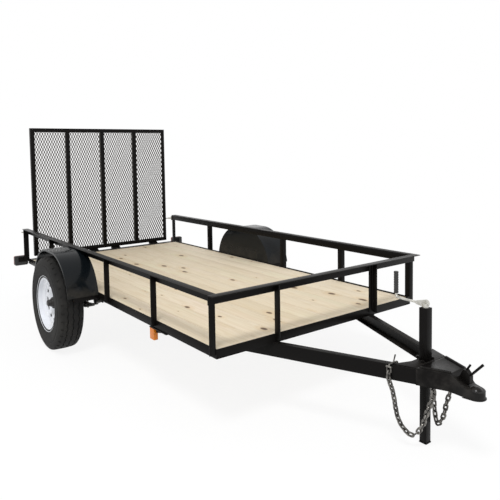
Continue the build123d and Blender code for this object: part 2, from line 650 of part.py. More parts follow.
def jack_crank():
    """Crank: a flat head on edge, pinned across the jack's shaft, and a bar bent back to the grip."""
    head_x, end_x = JACK_X, JACK_X - CRANK_ARM
    arm = Pos(head_x, CRANK_Z) * Circle(CRANK_HEAD_R)
    arm += Polygon((head_x, CRANK_Z - CRANK_HEAD_R), (head_x, CRANK_Z + CRANK_HEAD_R),
                   (head_x - 52, CRANK_Z + 4), (head_x - 52, CRANK_Z - 12), align=None)
    crank = Pos(0, CRANK_T / 2, 0) * extrude(Plane.XZ * arm, amount=CRANK_T)
    crank += rod((JACK_X, 0, JACK_TUBE_TOP), (JACK_X, 0, CRANK_Z), CRANK_HEAD_R - 3)
    crank += rod((JACK_X, -CRANK_T, CRANK_Z), (JACK_X, CRANK_T, CRANK_Z), 6)
    return crank + bent_bar([(head_x - 46, 0, CRANK_Z - 4), (head_x - 110, 0, CRANK_Z - 4),
                             (end_x, 0, CRANK_Z - 2), (end_x, 0, CRANK_Z + 18)], 12, CRANK_BAR_R)


def jack_grip():
    """Round grip standing on the end of the crank arm."""
    x = JACK_X - CRANK_ARM
    return rod((x, 0, CRANK_Z + 18), (x, 0, CRANK_Z + 18 + GRIP_H), GRIP_R)


def jack_leg():
    """Square inner leg of the jack."""
    half = JACK_LEG / 2
    top = JACK_TUBE_BOTTOM + JACK_REACH + JACK_HOLD
    return block(JACK_X - half, JACK_X + half, -half, half, FOOT_T, top)


def jack_foot():
    """Foot plate under the leg."""
    return block(JACK_X - FOOT / 2, JACK_X + FOOT / 2, -FOOT / 2, FOOT / 2, 0, FOOT_T)


# ---------------------------------------------------------------- gate

def gate_sides():
    """Left and right edges of the gate: one leg in its face, one turned rearward."""
    return [angle_bar((GATE_X, side * GATE_HALF, GATE_BOTTOM), (GATE_X, side * GATE_HALF, GATE_TOP),
                      (0, -side, 0), (-1, 0, 0), GATE_LEG, GATE_LEG, GATE_T) for side in (-1, 1)]


def gate_rail(level, down):
    """Top or bottom rail of the gate, coped between its sides."""
    reach = GATE_HALF - GATE_LEG
    edge = GATE_HALF - GATE_T
    bar = angle_bar((GATE_X, -edge, level), (GATE_X, edge, level),
                    (0, 0, down), (-1, 0, 0), GATE_LEG, GATE_LEG, GATE_T)
    for side in (-1, 1):
        bar -= block(GATE_X, GATE_X - GATE_T * 2, side * edge, side * reach, level, level + down * GATE_LEG)
    return bar


def upright_places():
    """Middle of each inner upright."""
    pitch = 2 * GATE_HALF / (GATE_UPRIGHTS + 1)
    return [-GATE_HALF + pitch * (index + 1) for index in range(GATE_UPRIGHTS)]


def gate_uprights():
    """Inner uprights between the top and bottom rails."""
    bars = []
    low, high = GATE_BOTTOM + GATE_LEG, GATE_TOP - GATE_LEG
    for y in upright_places():
        bars.append(angle_bar((GATE_X, y - GATE_LEG / 2, low), (GATE_X, y - GATE_LEG / 2, high),
                              (0, 1, 0), (-1, 0, 0), GATE_LEG, GATE_LEG, GATE_T))
    return bars


def mesh_bay(y0, y1):
    """One bay of expanded metal, a sheet pierced by staggered diamonds."""
    z0, z1 = GATE_BOTTOM + MESH_CLEAR, GATE_TOP - MESH_CLEAR
    columns = round((y1 - y0) / DIAMOND_W)
    rows = round((z1 - z0) / DIAMOND_H)
    pitch_y, pitch_z = (y1 - y0) / columns, (z1 - z0) / rows
    half_y, half_z = pitch_y / 2 - STRAND * 0.62, pitch_z / 2 - STRAND * 1.3
    diamond = Polygon((-half_y, 0), (0, -half_z), (half_y, 0), (0, half_z), align=None)
    sheet = Pos((y0 + y1) / 2, (z0 + z1) / 2) * Rectangle(y1 - y0, z1 - z0)
    border = Pos((y0 + y1) / 2, (z0 + z1) / 2) * Rectangle(y1 - y0 - STRAND, z1 - z0 - STRAND)
    places = []
    for row in range(2 * rows + 1):
        shift = 0 if row % 2 else pitch_y / 2
        for column in range(columns + (row % 2)):
            places.append(Pos(y0 + shift + column * pitch_y, z0 + row * pitch_z / 2))
    holes = Sketch() + [place * diamond for place in places]
    sheet -= holes & border
    return extrude(Plane(origin=(GATE_X - GATE_T, 0, 0), x_dir=(0, 1, 0), z_dir=(1, 0, 0)) * sheet,
                   amount=-MESH_T)


def gate_mesh():
    """Mesh in the four bays, against the back of the face legs."""
    edges = [-GATE_HALF + MESH_CLEAR]
    bays = []
    for y in upright_places():
        bays.append(mesh_bay(edges[-1], y - GATE_LEG / 2 - 1))
        edges.append(y - GATE_LEG / 2 + MESH_CLEAR)
    bays.append(mesh_bay(edges[-1], GATE_HALF - MESH_CLEAR))
    return bays


def hinge_places():
    """Middle of each hinge along the gate."""
    return [side * y for y in HINGE_Y for side in (-1, 1)]


def gate_hinges():
    """Hinge barrels welded under the gate's bottom rail."""
    barrels = []
    for y in hinge_places():
        barrel = rod((HINGE_X, y - HINGE_L / 2, HINGE_Z), (HINGE_X, y + HINGE_L / 2, HINGE_Z), HINGE_R)
        barrels.append(barrel - rod((HINGE_X, y - HINGE_L, HINGE_Z), (HINGE_X, y + HINGE_L, HINGE_Z),
                                    HINGE_PIN_R + RUN_CLEAR))
    return barrels


def hinge_lugs():
    """Ears welded to the rear beam, joined by the pin that each barrel turns on."""
    pieces = []
    for y in hinge_places():
        reach = HINGE_L / 2 + 1.0
        end = reach + LUG_T + 2
        lug = rod((HINGE_X, y - end, HINGE_Z), (HINGE_X, y + end, HINGE_Z), HINGE_PIN_R)
        profile = Pos(HINGE_X, HINGE_Z) * Circle(HINGE_R - 1)
        profile += Polygon((HINGE_X, HINGE_Z + HINGE_R - 1), (HINGE_X, HINGE_Z - HINGE_R + 1),
                           (X_REAR, BOARD_BOTTOM + 4), (X_REAR, DECK_TOP - 6), align=None)
        for y0 in (y - reach, y + reach + LUG_T):
            lug += Pos(0, y0, 0) * extrude(Plane.XZ * profile, amount=LUG_T)
        pieces.append(lug)
    return pieces


def gate_latches():
    """Spring latches at rail height, between the rear posts and the gate's edges."""
    pieces = []
    x, z = X_REAR - LATCH_BACK_X, RAIL_TOP - LATCH_DROP
    for side in (-1, 1):
        latch = block(X_REAR, X_REAR - 3, side * (Y_SIDE - 12), side * (Y_SIDE + POST_LEG), z - 22, z + 22)
        latch += rod((x, side * (Y_SIDE + 30), z), (x, side * (Y_SIDE - 30), z), BARREL_R)
        latch += rod((x, side * (Y_SIDE - 30), z), (x, side * (GATE_HALF + 3), z), BOLT_R)
        latch += rod((x, side * (Y_SIDE + 30), z), (x, side * (Y_SIDE + 48), z), BOLT_R)
        latch += block(X_REAR, x, side * (Y_SIDE - 10), side * (Y_SIDE + 22), z - 4, z + 4)
        pieces.append(latch)
    return pieces


# ---------------------------------------------------------------- lights

def lamp_slab(x0, x1):
    """Slice of the right-hand tail light between two planes across the trailer."""
    y = -Y_SIDE - 3 - LAMP_W / 2
    outline = Pos(y, LAMP_Z + LAMP_H / 2) * RectangleRounded(LAMP_W, LAMP_H, LAMP_ROUND)
    return extrude(Plane(origin=(x0, 0, 0), x_dir=(0, 1, 0), z_dir=(1, 0, 0)) * outline, amount=x1 - x0)


def lamp_box():
    """Right-hand tail light housing, behind the rear post."""
    return lamp_slab(LAMP_X - LAMP_D + LENS_T, LAMP_X)


def lamp_lens():
    """Right-hand tail light lens with rounded edges."""
    lens = lamp_slab(LAMP_X - LAMP_D, LAMP_X - LAMP_D + LENS_T)
    return fillet(lens.faces().sort_by(Axis.X)[0].edges(), 5)


def lamp_bracket():
    """Right-hand plate from the rear post to the tail light."""
    return block(LAMP_X, X_REAR, -Y_SIDE, -Y_SIDE - LAMP_W * 0.75, POST_BOTTOM + 2, LAMP_Z + LAMP_H - 12)


def marker_lens():
    """Right-hand amber side marker, hanging below the frame."""
    top = FRAME_BOTTOM - MARKER_PLATE_T
    lens = block(MARKER_X - MARKER_L / 2, MARKER_X + MARKER_L / 2,
                 -Y_SIDE - MARKER_OUT, -Y_SIDE - MARKER_OUT + MARKER_D, top - MARKER_H, top)
    return fillet(lens.faces().sort_by(Axis.Y)[0].edges(), 3)


def marker_bracket():
    """Right-hand plate under the frame that the side marker hangs from, with a gusset ahead of it."""
    x0, x1 = MARKER_X - MARKER_L / 2 - 4, MARKER_X + MARKER_L / 2
    top, low = FRAME_BOTTOM, FRAME_BOTTOM - MARKER_PLATE_T
    plate = block(x0, x1 + MARKER_ARM, -Y_SIDE - MARKER_OUT, -Y_SIDE - MARKER_OUT + MARKER_D + 6, low, top)
    gusset = Polygon((x1 + 1, low - 26), (x1 + MARKER_ARM * 0.8, low), (x1 + 1, low), align=None)
    return plate + Pos(0, -Y_SIDE + MARKER_D / 2, 0) * extrude(Plane.XZ * gusset, amount=4)


# ---------------------------------------------------------------- safety chains

# Each route, from the hook on a member to the eye under one: distance back from the ball,
# distance outside the member's outer face and drop below the tongue.
RIGHT_ROUTE = ((347, CHAIN_OUT, -46), (346.5, CHAIN_OUT, -2), (341, 7, 32), (328, -9, 155),
               (302, -28, 244), (273, -39, 268), (247, -45, 243), (220, -44, 175), (196, -34, 105),
               (177, -22, 55))
LEFT_ROUTE = ((280, -FLANGE_RUN - HOOK_BEND, 25), (279.5, -51, 70), (274, -56, 130), (258, -64, 200),
              (232, -66, 240), (210, -54, 210), (192, -40, 130), (177, -23, 62))


def route_points(route, side):
    """Points of a route, with its last one at the eye, on the right (-1) or the left (1)."""
    last = (EYE_BACK, -TONGUE_FLANGE / 2, EYE_DROP - (WIRE + LINK_CLEAR) / 2)
    return [(BALL_X - back, side * (member_y(BALL_X - back) + out), TONGUE_BOTTOM - drop)
            for back, out, drop in route + (last,)]


def chain(points):
    """Links along a curve, an odd number, each turned a quarter from the next and held by it."""
    path = Spline([Vector(*point) for point in points])
    count = 2 * math.ceil(path.length / LINK_PITCH / 2) - 1
    hollow = path.length / count + LINK_CLEAR
    plate = extrude(SlotOverall(hollow + 2 * WIRE, LINK_W) - SlotOverall(hollow, LINK_W - 2 * WIRE),
                    amount=WIRE / 2, both=True)
    links = []
    for index in range(count):
        place = (index + 0.5) / count
        centre, along = path @ place, path % place
        frame = Plane(origin=centre, x_dir=along, z_dir=along.cross(Vector(0, 1, 0)))
        links.append(frame.location * Rot(90 * (index % 2), 0, 0) * plate)
    return links


def chain_eye(side):
    """U-shaped eye welded under a member, through the last link of a chain."""
    x, y = BALL_X - EYE_BACK, side * (member_y(BALL_X - EYE_BACK) - TONGUE_FLANGE / 2)
    low = TONGUE_BOTTOM - EYE_DROP
    return bent_bar([(x - BOW, y, TONGUE_BOTTOM), (x - BOW, y, low), (x + BOW, y, low),
                     (x + BOW, y, TONGUE_BOTTOM)], BOW / 2, WIRE / 2)


def chain_hook(tip, start, level):
    """Hook from its tip along a level and down to a bow through the first link of a chain."""
    x, y, z = start
    low = z - (WIRE + LINK_CLEAR) / 2
    cross = low + BOW_H
    hook = bent_bar(tip + [(x, y, level), (x, y, cross)], HOOK_BEND, HOOK_R)
    hook += rod((x - BOW - HOOK_R, y, cross), (x + BOW + HOOK_R, y, cross), HOOK_R)
    hook += bent_bar([(x - BOW, y, cross), (x - BOW, y, low), (x + BOW, y, low), (x + BOW, y, cross)],
                     BOW / 2, WIRE / 2)
    return hook


def right_hook():
    """Right-hand chain's hook, over the top flange of its member, with its latch standing up."""
    start = route_points(RIGHT_ROUTE, -1)[0]
    x, inner = start[0], start[1] + CHAIN_OUT + FLANGE_RUN + HOOK_BEND
    level = TONGUE_TOP + HOOK_R + RUN_CLEAR
    hook = chain_hook([(x, inner, level - 14), (x, inner, level)], start, level)
    middle = (start[1] + inner) / 2
    return hook + rod((x, middle, level), (x + 9, middle + 4, level + 42), WIRE / 2)


def left_hook():
    """Left-hand chain's hook, on the inner edge of its member's lower flange."""
    start = route_points(LEFT_ROUTE, 1)[0]
    level = TONGUE_BOTTOM + TONGUE_T + HOOK_R + RUN_CLEAR
    return chain_hook([(start[0], start[1] + 24, level)], start, level)


os.makedirs("parts", exist_ok=True)

save("frame_side_right", frame_side())
save("frame_side_left", mirrored([frame_side()]))
save("frame_front_beam", front_beam())
save("frame_rear_beam", rear_beam())
save("deck_crossmembers", cross_members())
save("deck_boards", deck_boards())
save("side_posts_right", side_posts())
save("side_posts_left", mirrored(side_posts()))
save("front_posts", front_posts())
save("top_rail_right", side_rail())
save("top_rail_left", mirrored([side_rail()]))
save("top_rail_front", front_rail())

for name, make in (("tyre", tyre), ("rim", rim), ("hub", hub)):
    piece = make()
    save(f"{name}_right", piece)
    save(f"{name}_left", mirrored([piece]))

save("axle_beam", axle_beam())
save("leaf_spring_right", leaf_spring())
save("leaf_spring_left", mirrored([leaf_spring()]))
save("spring_hangers", spring_hangers() + mirrored(spring_hangers()))
save("spring_clamps", [spring_clamps()] + mirrored([spring_clamps()]))
save("fender_right", fender())
save("fender_left", mirrored([fender()]))
save("fender_brackets", fender_brackets() + mirrored(fender_brackets()))

save("tongue_member_right", tongue_member())
save("tongue_member_left", mirrored([tongue_member()]))
save("tongue_plate", tongue_plate())
save("coupler", coupler())
save("coupler_latch", coupler_latch())
save("jack_tube", jack_tube())
save("jack_crank", jack_crank())
save("jack_grip", jack_grip())
save("jack_leg", jack_leg())
save("jack_foot", jack_foot())

save("gate_sides", gate_sides())
save("gate_top_rail", gate_rail(GATE_TOP, -1))
save("gate_bottom_rail", gate_rail(GATE_BOTTOM, 1))
save("gate_uprights", gate_uprights())
save("gate_mesh", gate_mesh())
save("gate_hinges", gate_hinges())
save("gate_hinge_lugs", hinge_lugs())
save("gate_latches", gate_latches())

save("tail_light_housings", [lamp_box()] + mirrored([lamp_box()]))
save("tail_light_lenses", [lamp_lens()] + mirrored([lamp_lens()]))
save("tail_light_brackets", [lamp_bracket()] + mirrored([lamp_bracket()]))
save("side_marker_lenses", [marker_lens()] + mirrored([marker_lens()]))
save("side_marker_brackets", [marker_bracket()] + mirrored([marker_bracket()]))
save("safety_chain_right", chain(route_points(RIGHT_ROUTE, -1)) + [right_hook(), chain_eye(-1)])
save("safety_chain_left", chain(route_points(LEFT_ROUTE, 1)) + [left_hook(), chain_eye(1)])
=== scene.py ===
# %% [markdown]
# # A single-axle utility trailer
#
# This lesson finishes a trailer whose steel, planks and running gear come ready-made from a
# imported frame. Blender adds what a maker would see last: the fine gate mesh, the tyres'
# tread, softened plank edges, bolts, weld beads, and a finish for every surface. The frame
# says where each piece is, in metres, with X forward to the coupler, Y to the trailer's
# left and Z up from the ground.

# %% Load the frame
import json
import math

import bmesh
import bpy
from mathutils import Matrix, Vector


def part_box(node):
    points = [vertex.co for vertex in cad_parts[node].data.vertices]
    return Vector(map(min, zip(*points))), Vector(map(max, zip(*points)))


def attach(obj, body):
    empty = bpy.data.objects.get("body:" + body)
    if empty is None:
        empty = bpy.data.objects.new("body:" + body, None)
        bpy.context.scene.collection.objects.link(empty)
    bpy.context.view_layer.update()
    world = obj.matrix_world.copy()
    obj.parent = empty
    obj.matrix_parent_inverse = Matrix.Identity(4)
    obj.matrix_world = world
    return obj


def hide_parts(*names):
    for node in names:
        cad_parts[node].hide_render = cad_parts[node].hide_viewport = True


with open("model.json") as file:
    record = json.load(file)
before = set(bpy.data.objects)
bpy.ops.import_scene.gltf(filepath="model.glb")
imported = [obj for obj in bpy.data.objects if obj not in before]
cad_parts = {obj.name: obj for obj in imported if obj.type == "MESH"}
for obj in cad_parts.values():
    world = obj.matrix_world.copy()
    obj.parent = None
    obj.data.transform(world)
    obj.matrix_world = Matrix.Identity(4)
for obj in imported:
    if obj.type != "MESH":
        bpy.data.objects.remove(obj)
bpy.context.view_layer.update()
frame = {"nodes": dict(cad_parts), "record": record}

# %% [markdown]
# ## Camera
#
# The trailer is seen from its front right corner, at about eye height. A camera can be turned
# by hand until the view looks right, but writing down its place, its three angles and its
# focal length keeps the view the same in every render. The sensor is 36 mm wide, and the
# vertical shift lowers the frame without tilting the uprights.

# %% Camera
EYE = Vector((3.4164, -2.3152, 1.4584))
YAW, PITCH, ROLL = (math.radians(angle) for angle in (142.7, -3.55, -0.86))
SENSOR = 36                     # millimetres
IMAGE = 500                     # width and height of the view, in pixels
FOCAL_PIXELS = 559.7
AXIS_PIXEL = (247.5, 184.7)     # the pixel that the lens points at


def view_axes(yaw, pitch, roll):
    """Right, up and back directions of a camera that looks along yaw and pitch."""
    ahead = Vector((math.cos(yaw) * math.cos(pitch), math.sin(yaw) * math.cos(pitch),
                    math.sin(pitch)))
    level = Vector((math.sin(yaw), -math.cos(yaw), 0))
    above = level.cross(ahead)
    right = level * math.cos(roll) + above * math.sin(roll)
    up = above * math.cos(roll) - level * math.sin(roll)
    return right, up, -ahead


camera_data = bpy.data.cameras.new("camera")
camera_data.sensor_width = SENSOR
camera_data.lens = FOCAL_PIXELS * SENSOR / IMAGE
camera_data.shift_x = (IMAGE / 2 - AXIS_PIXEL[0]) / IMAGE
camera_data.shift_y = (AXIS_PIXEL[1] - IMAGE / 2) / IMAGE
camera = bpy.data.objects.new("camera", camera_data)
bpy.context.collection.objects.link(camera)
aim = Matrix(view_axes(YAW, PITCH, ROLL)).transposed().to_4x4()
camera.matrix_world = Matrix.Translation(EYE) @ aim
bpy.context.scene.camera = camera
print("lens", round(camera_data.lens, 2), "mm")

# %% [markdown]
# ## Building materials from expressions
#
# A finish is a small program: noise is scaled, compared and mixed until it says how dark or
# rough each spot is. Nodes can be wired by hand, one by one, but arithmetic is easier to read
# as a formula. `Wire` holds one output of a node, and plus, minus, times and so on add a Math
# node. `Finish` owns one material, and its `node` method adds any other kind of node.

# %% Wires


class Wire:
    """One output in a material, usable in an expression."""

    def __init__(self, finish, socket):
        self.finish = finish
        self.socket = socket

    def math(self, operation, first, second=0):
        return self.finish.node("Math", {0: first, 1: second}, operation=operation)

    def __add__(self, other):
        return self.math("ADD", self, other)

    def __sub__(self, other):
        return self.math("SUBTRACT", self, other)

    def __rsub__(self, other):
        return self.math("SUBTRACT", other, self)

    def __mul__(self, other):
        return self.math("MULTIPLY", self, other)

    def __truediv__(self, other):
        return self.math("DIVIDE", self, other)

    def __pow__(self, other):
        return self.math("POWER", self, other)

    def __abs__(self):
        return self.math("ABSOLUTE", self)

    def whole(self):
        return self.math("FLOOR", self)

    def sine(self):
        return self.math("SINE", self)


print("wires add, subtract, multiply, divide and more")

# %% Finishes
NOISE_ROUGHNESS = 0.55
WALL_TO_TOP = (0.3, 0.9)        # Z of the normal, from a wall to a face that looks up


class Finish:
    """A material with one Principled shader, built up node by node."""

    def __init__(self, name, **shader):
        self.material = bpy.data.materials.new(name)
        self.material.use_nodes = True
        self.tree = self.material.node_tree
        self.shader = next(n for n in self.tree.nodes if n.type == "BSDF_PRINCIPLED")
        self.set(**shader)
        self.place = self.node("TexCoord", output="Object")

    def node(self, kind, inputs=None, output=0, **settings):
        """Add a node: its settings first, then the values or wires of its sockets."""
        made = self.tree.nodes.new("ShaderNode" + kind)
        for key, value in settings.items():
            setattr(made, key, value)
        for key, value in (inputs or {}).items():
            self.plug(made.inputs[key], value)
        return Wire(self, made.outputs[output])

    def plug(self, socket, value):
        """Give a socket a wire or a value."""
        if isinstance(value, Wire):
            self.tree.links.new(value.socket, socket)
        elif socket.type == "RGBA":
            socket.default_value = (*value, 1)
        else:
            socket.default_value = value

    def set(self, **sockets):
        """Plug the shader's sockets, with spaces in their names written as underscores."""
        for key, value in sockets.items():
            name = key.replace("_", " ").title().replace("Ior", "IOR")
            self.plug(self.shader.inputs[name], value)

    def noise(self, scale, detail=3):
        """Soft random value from 0 to 1."""
        return self.node("TexNoise", {"Vector": self.place, "Scale": scale, "Detail": detail,
                                      "Roughness": NOISE_ROUGHNESS})

    def between(self, value, low, high):
        """Smooth step from 0 at low to 1 at high."""
        return self.node("MapRange", {"Value": value, "From Min": low, "From Max": high},
                         interpolation_type="SMOOTHSTEP")

    def mix(self, amount, first, second):
        """Blend two colours."""
        return self.node("Mix", {0: amount, 6: first, 7: second}, output=2, data_type="RGBA")

    def axis(self, name):
        """Object coordinate along X, Y or Z, in metres."""
        return self.node("SeparateXYZ", {0: self.place}, output=name)

    def upward(self):
        """1 on faces that look up, 0 on walls and undersides."""
        normal = self.node("NewGeometry", output="Normal")
        return self.between(self.node("SeparateXYZ", {0: normal}, output="Z"), *WALL_TO_TOP)

    def bump(self, height, depth):
        """Feed a height to the shader's normal; depth is in metres."""
        self.set(normal=self.node("Bump", {"Distance": depth, "Height": height}))


print("ready to mix finishes")

# %% [markdown]
# ## Studio: floor, sky and lamp
#
# The trailer stands on a plain pale floor in soft light. A white sky lights it from all
# sides, and one large lamp in front gives the planks and the paint some direction. A real
# studio floor would end at a curved sweep; here the floor fades to pure white with distance,
# which looks the same and needs no second surface. What the camera and the glossy paint see
# behind the trailer is white, while the light that falls on it stays at a plain level.

# %% Sky
SKY_LIGHT = 0.72            # strength of the light that falls on the trailer


def seen_directly(tree):
    """1 for rays from the camera or off a glossy or clear surface, 0 for scattered light."""
    path = tree.nodes.new("ShaderNodeLightPath")
    total = path.outputs["Is Camera Ray"]
    for ray in ("Is Glossy Ray", "Is Transmission Ray"):
        larger = tree.nodes.new("ShaderNodeMath")
        larger.operation = "MAXIMUM"
        tree.links.new(total, larger.inputs[0])
        tree.links.new(path.outputs[ray], larger.inputs[1])
        total = larger.outputs[0]
    return total


world = bpy.data.worlds.new("sky")
bpy.context.scene.world = world
world.use_nodes = True
sky = world.node_tree
background = next(n for n in sky.nodes if n.type == "BACKGROUND")
background.inputs["Color"].default_value = (1, 1, 1, 1)
strength = sky.nodes.new("ShaderNodeMapRange")
strength.inputs["To Min"].default_value = SKY_LIGHT
sky.links.new(seen_directly(sky), strength.inputs["Value"])
sky.links.new(strength.outputs["Result"], background.inputs["Strength"])
print("sky light", SKY_LIGHT)

# %% Floor
FLOOR_RADIUS = 40           # metres
FLOOR_LEVEL = -0.0005       # metres: just under the tyres, so that no two faces coincide
FLOOR_FADE = (1.6, 3.6)     # metres from the middle: plain floor, then all white
FLOOR_GLOW = 0.88           # how much of the near floor is already white
FLOOR_COLOUR = (0.93, 0.93, 0.93, 1)

bpy.ops.mesh.primitive_circle_add(vertices=96, radius=FLOOR_RADIUS, fill_type="NGON",
                                  location=(0, 0, FLOOR_LEVEL))
floor = bpy.context.object
floor.name = "floor"
floor_paint = bpy.data.materials.new("floor_paint")
floor_paint.use_nodes = True
tree = floor_paint.node_tree
tree.nodes.clear()
place, distance, fade, white, diffuse, glow, blend, out = (
    tree.nodes.new("ShaderNode" + name) for name in
    ("NewGeometry", "VectorMath", "MapRange", "Math", "BsdfDiffuse", "Emission", "MixShader",
     "OutputMaterial"))
distance.operation = "LENGTH"
fade.interpolation_type = "SMOOTHSTEP"
for key, value in (("From Min", FLOOR_FADE[0]), ("From Max", FLOOR_FADE[1]),
                   ("To Min", FLOOR_GLOW)):
    fade.inputs[key].default_value = value
white.operation = "MULTIPLY"
diffuse.inputs["Color"].default_value = FLOOR_COLOUR
for source, target in ((place.outputs["Position"], distance.inputs[0]),
                       (distance.outputs["Value"], fade.inputs["Value"]),
                       (fade.outputs["Result"], white.inputs[0]),
                       (seen_directly(tree), white.inputs[1]),
                       (white.outputs[0], blend.inputs[0]),
                       (diffuse.outputs[0], blend.inputs[1]),
                       (glow.outputs[0], blend.inputs[2]),
                       (blend.outputs[0], out.inputs["Surface"])):
    tree.links.new(source, target)
floor.data.materials.append(floor_paint)
print("floor", FLOOR_RADIUS * 2, "m across, white from", FLOOR_FADE[1], "m")

# %% Lamp
LAMP_PLACE, LAMP_TARGET = Vector((3.6, -3.6, 8.0)), Vector((-0.1, 0, 0.4))
LAMP_SIZE, LAMP_WATTS = 2.6, 440

bpy.ops.object.light_add(type="AREA", location=LAMP_PLACE)
lamp = bpy.context.object
lamp.name = "soft_lamp"
lamp.data.shape = "DISK"
lamp.data.size = LAMP_SIZE
lamp.data.energy = LAMP_WATTS
lamp.rotation_euler = (LAMP_TARGET - lamp.location).to_track_quat("-Z", "Y").to_euler()
bpy.context.scene.view_settings.view_transform = "Standard"
print("lamp", round((LAMP_TARGET - LAMP_PLACE).length, 1), "m away")

# %% [markdown]
# ## Painted steel
#
# The frame, the tongue and the gate are sprayed satin black. Up close such paint has an
# orange-peel skin, settles a little thicker or thinner, and gathers pale dust on faces that
# look up; these faces are also painted lighter, as a painted sheen of the sky on them. One
# flat black would look like plastic, so a coarse and a fine noise move its colour and
# roughness, and a very shallow bump gives it the skin. The low IOR keeps the black deep
# straight on and lets it shine at a grazing angle, as paint does.

# %% Painted steel
BLACK_IOR = 1.18
SATIN_BLACK = (0.0046, 0.0040, 0.0037)
ORANGE_PEEL = 0.0001        # metres


def black_paint(name, colour, dust_and_painted_light, rough):
    """Sprayed black over steel."""
    paint = Finish(name, ior=BLACK_IOR)
    cloud = paint.noise(3.5, detail=4)
    speck = paint.noise(180, detail=2)
    # Faces that look up get pale dust and a painted sheen of the sky, both in the lighter
    # colour.
    dust_and_sheen = (paint.upward() * paint.between(cloud, 0.35, 0.75) * 0.5
            + paint.between(speck, 0.66, 0.80) * 0.35)
    paint.set(base_color=paint.mix(dust_and_sheen, colour, dust_and_painted_light),
              roughness=dust_and_sheen * 0.22 + cloud * 0.10 + rough)
    paint.bump(paint.noise(420, detail=2) + paint.noise(35, detail=2) * 2, ORANGE_PEEL)
    return paint


finishes = {
    "frame_black": black_paint("satin_black", SATIN_BLACK, (0.030, 0.027, 0.024), 0.30),
    "mesh_steel": black_paint("mesh_black", (0.066, 0.060, 0.053), (0.150, 0.138, 0.122), 0.40),
}
print("paint:", [finish.material.name for finish in finishes.values()])

# %% [markdown]
# The fenders are rolled sheet with a glossier coat, so they mirror the sky in broad soft
# patches, and their black is tinted blue as a painted reflection of a cold sky. Sheet is
# never quite flat: a wide, shallow bump bends the reflections, and road dust dulls the
# gloss near the lower edges.

# %% Fender gloss
DUST_TOP, DUST_FULL = 0.62, 0.44        # metres above the ground

gloss = Finish("fender_gloss", ior=1.20, coat_roughness=0.07)
low_down = gloss.between(gloss.axis("Z") * -1, -DUST_TOP, -DUST_FULL)
film = low_down * gloss.between(gloss.noise(9, detail=5), 0.35, 0.7)
# The blue tint of the black is a painted reflection of a cold sky.
gloss.set(base_color=gloss.mix(film, (0.0036, 0.0052, 0.0066), (0.030, 0.027, 0.023)),
          roughness=film * 0.30 + gloss.noise(5, detail=2) * 0.08 + 0.16,
          coat_weight=0.17 - film * 0.14)
gloss.bump(gloss.noise(4.5, detail=1) * 12 + gloss.noise(300, detail=2), 0.00012)
finishes["fender_gloss"] = gloss
print("fender gloss, dusty below", DUST_TOP, "m")

# %% [markdown]
# ## Pine planks
#
# Sawn pine has three things at once: each plank has its own tint, its grain runs lengthwise
# in long wavering lines, and knots sit in it as dark ovals that the grain bends round. The
# plank number comes from the Y coordinate, and moves the pattern so that no two planks
# match.

# %% A pattern for every plank
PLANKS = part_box("deck_boards")
PLANK_COUNT = 11
PLANK_GAP = 0.002
PLANK_PITCH = (PLANKS[1][1] - PLANKS[0][1] + PLANK_GAP) / PLANK_COUNT

wood = Finish("pine", ior=1.42)
number = ((wood.axis("Y") - PLANKS[0][1]) / PLANK_PITCH).whole()
luck = wood.node("TexWhiteNoise", {"W": number * 3.7 + 1.3}, noise_dimensions="1D")
plank_place = wood.node("CombineXYZ", {"X": wood.axis("X") + number * 5.3, "Y": wood.axis("Y"),
                                       "Z": wood.axis("Z") + number * 0.37})


def plank_noise(scale, stretch, detail=3):
    """Noise that starts afresh on every plank; stretch multiplies the scale along each axis."""
    place = wood.node("Mapping", {"Vector": plank_place, "Scale": stretch})
    return wood.node("TexNoise", {"Vector": place, "Scale": scale, "Detail": detail})


print(PLANK_COUNT, "planks of", round(PLANK_PITCH * 1000), "mm")

# %% [markdown]
# A Voronoi pattern scatters points over the planks, one in each cell, and tells how far off
# the nearest one is. Each point has its own luck, and the luckier ones become knots, with a
# halo round them that pushes the growth rings aside. Stretched noise makes the rings and the
# fibre.

# %% Knots, rings and fibre
LARGEST_KNOT = 0.135        # radius, as part of a cell
TURN = 6.283                # radians: one ring line for each whole number

cell = {"Vector": wood.node("Mapping", {"Vector": plank_place, "Scale": (0.55, 1, 1)}),
        "Scale": 5.6, "Randomness": 0.9}
knot_far, knot_dice = (wood.node("TexVoronoi", cell, output=output, voronoi_dimensions="2D")
                       for output in ("Distance", "Color"))
knot_luck = wood.node("SeparateColor", {0: knot_dice})
knot_size = wood.between(knot_luck, 0.45, 1) * LARGEST_KNOT
# Many sizes are 0; a hair more keeps each outer limit off the inner one.
knot = 1 - wood.between(knot_far, knot_size * 0.55, knot_size + 0.001)
halo = 1 - wood.between(knot_far, knot_size, knot_size * 3.2 + 0.002)
rings = plank_noise(1, (0.9, 15, 15), detail=2) * 9 + halo * 1.5
ring_line = (rings * TURN).sine() * 0.5 + 0.5
fibre = plank_noise(1, (7, 260, 260))
grain = wood.between(ring_line, 0.35, 1) * 0.62 + wood.between(fibre, 0.35, 0.8) * 0.38
print("knots up to", round(LARGEST_KNOT / cell["Scale"] * 2000), "mm across the plank")

# %% [markdown]
# The colour is laid on like a painter's glazes: the plank's own tint first, then pinkish and
# greenish clouds, the brown of the grain, a warm halo and at last the dark knot.

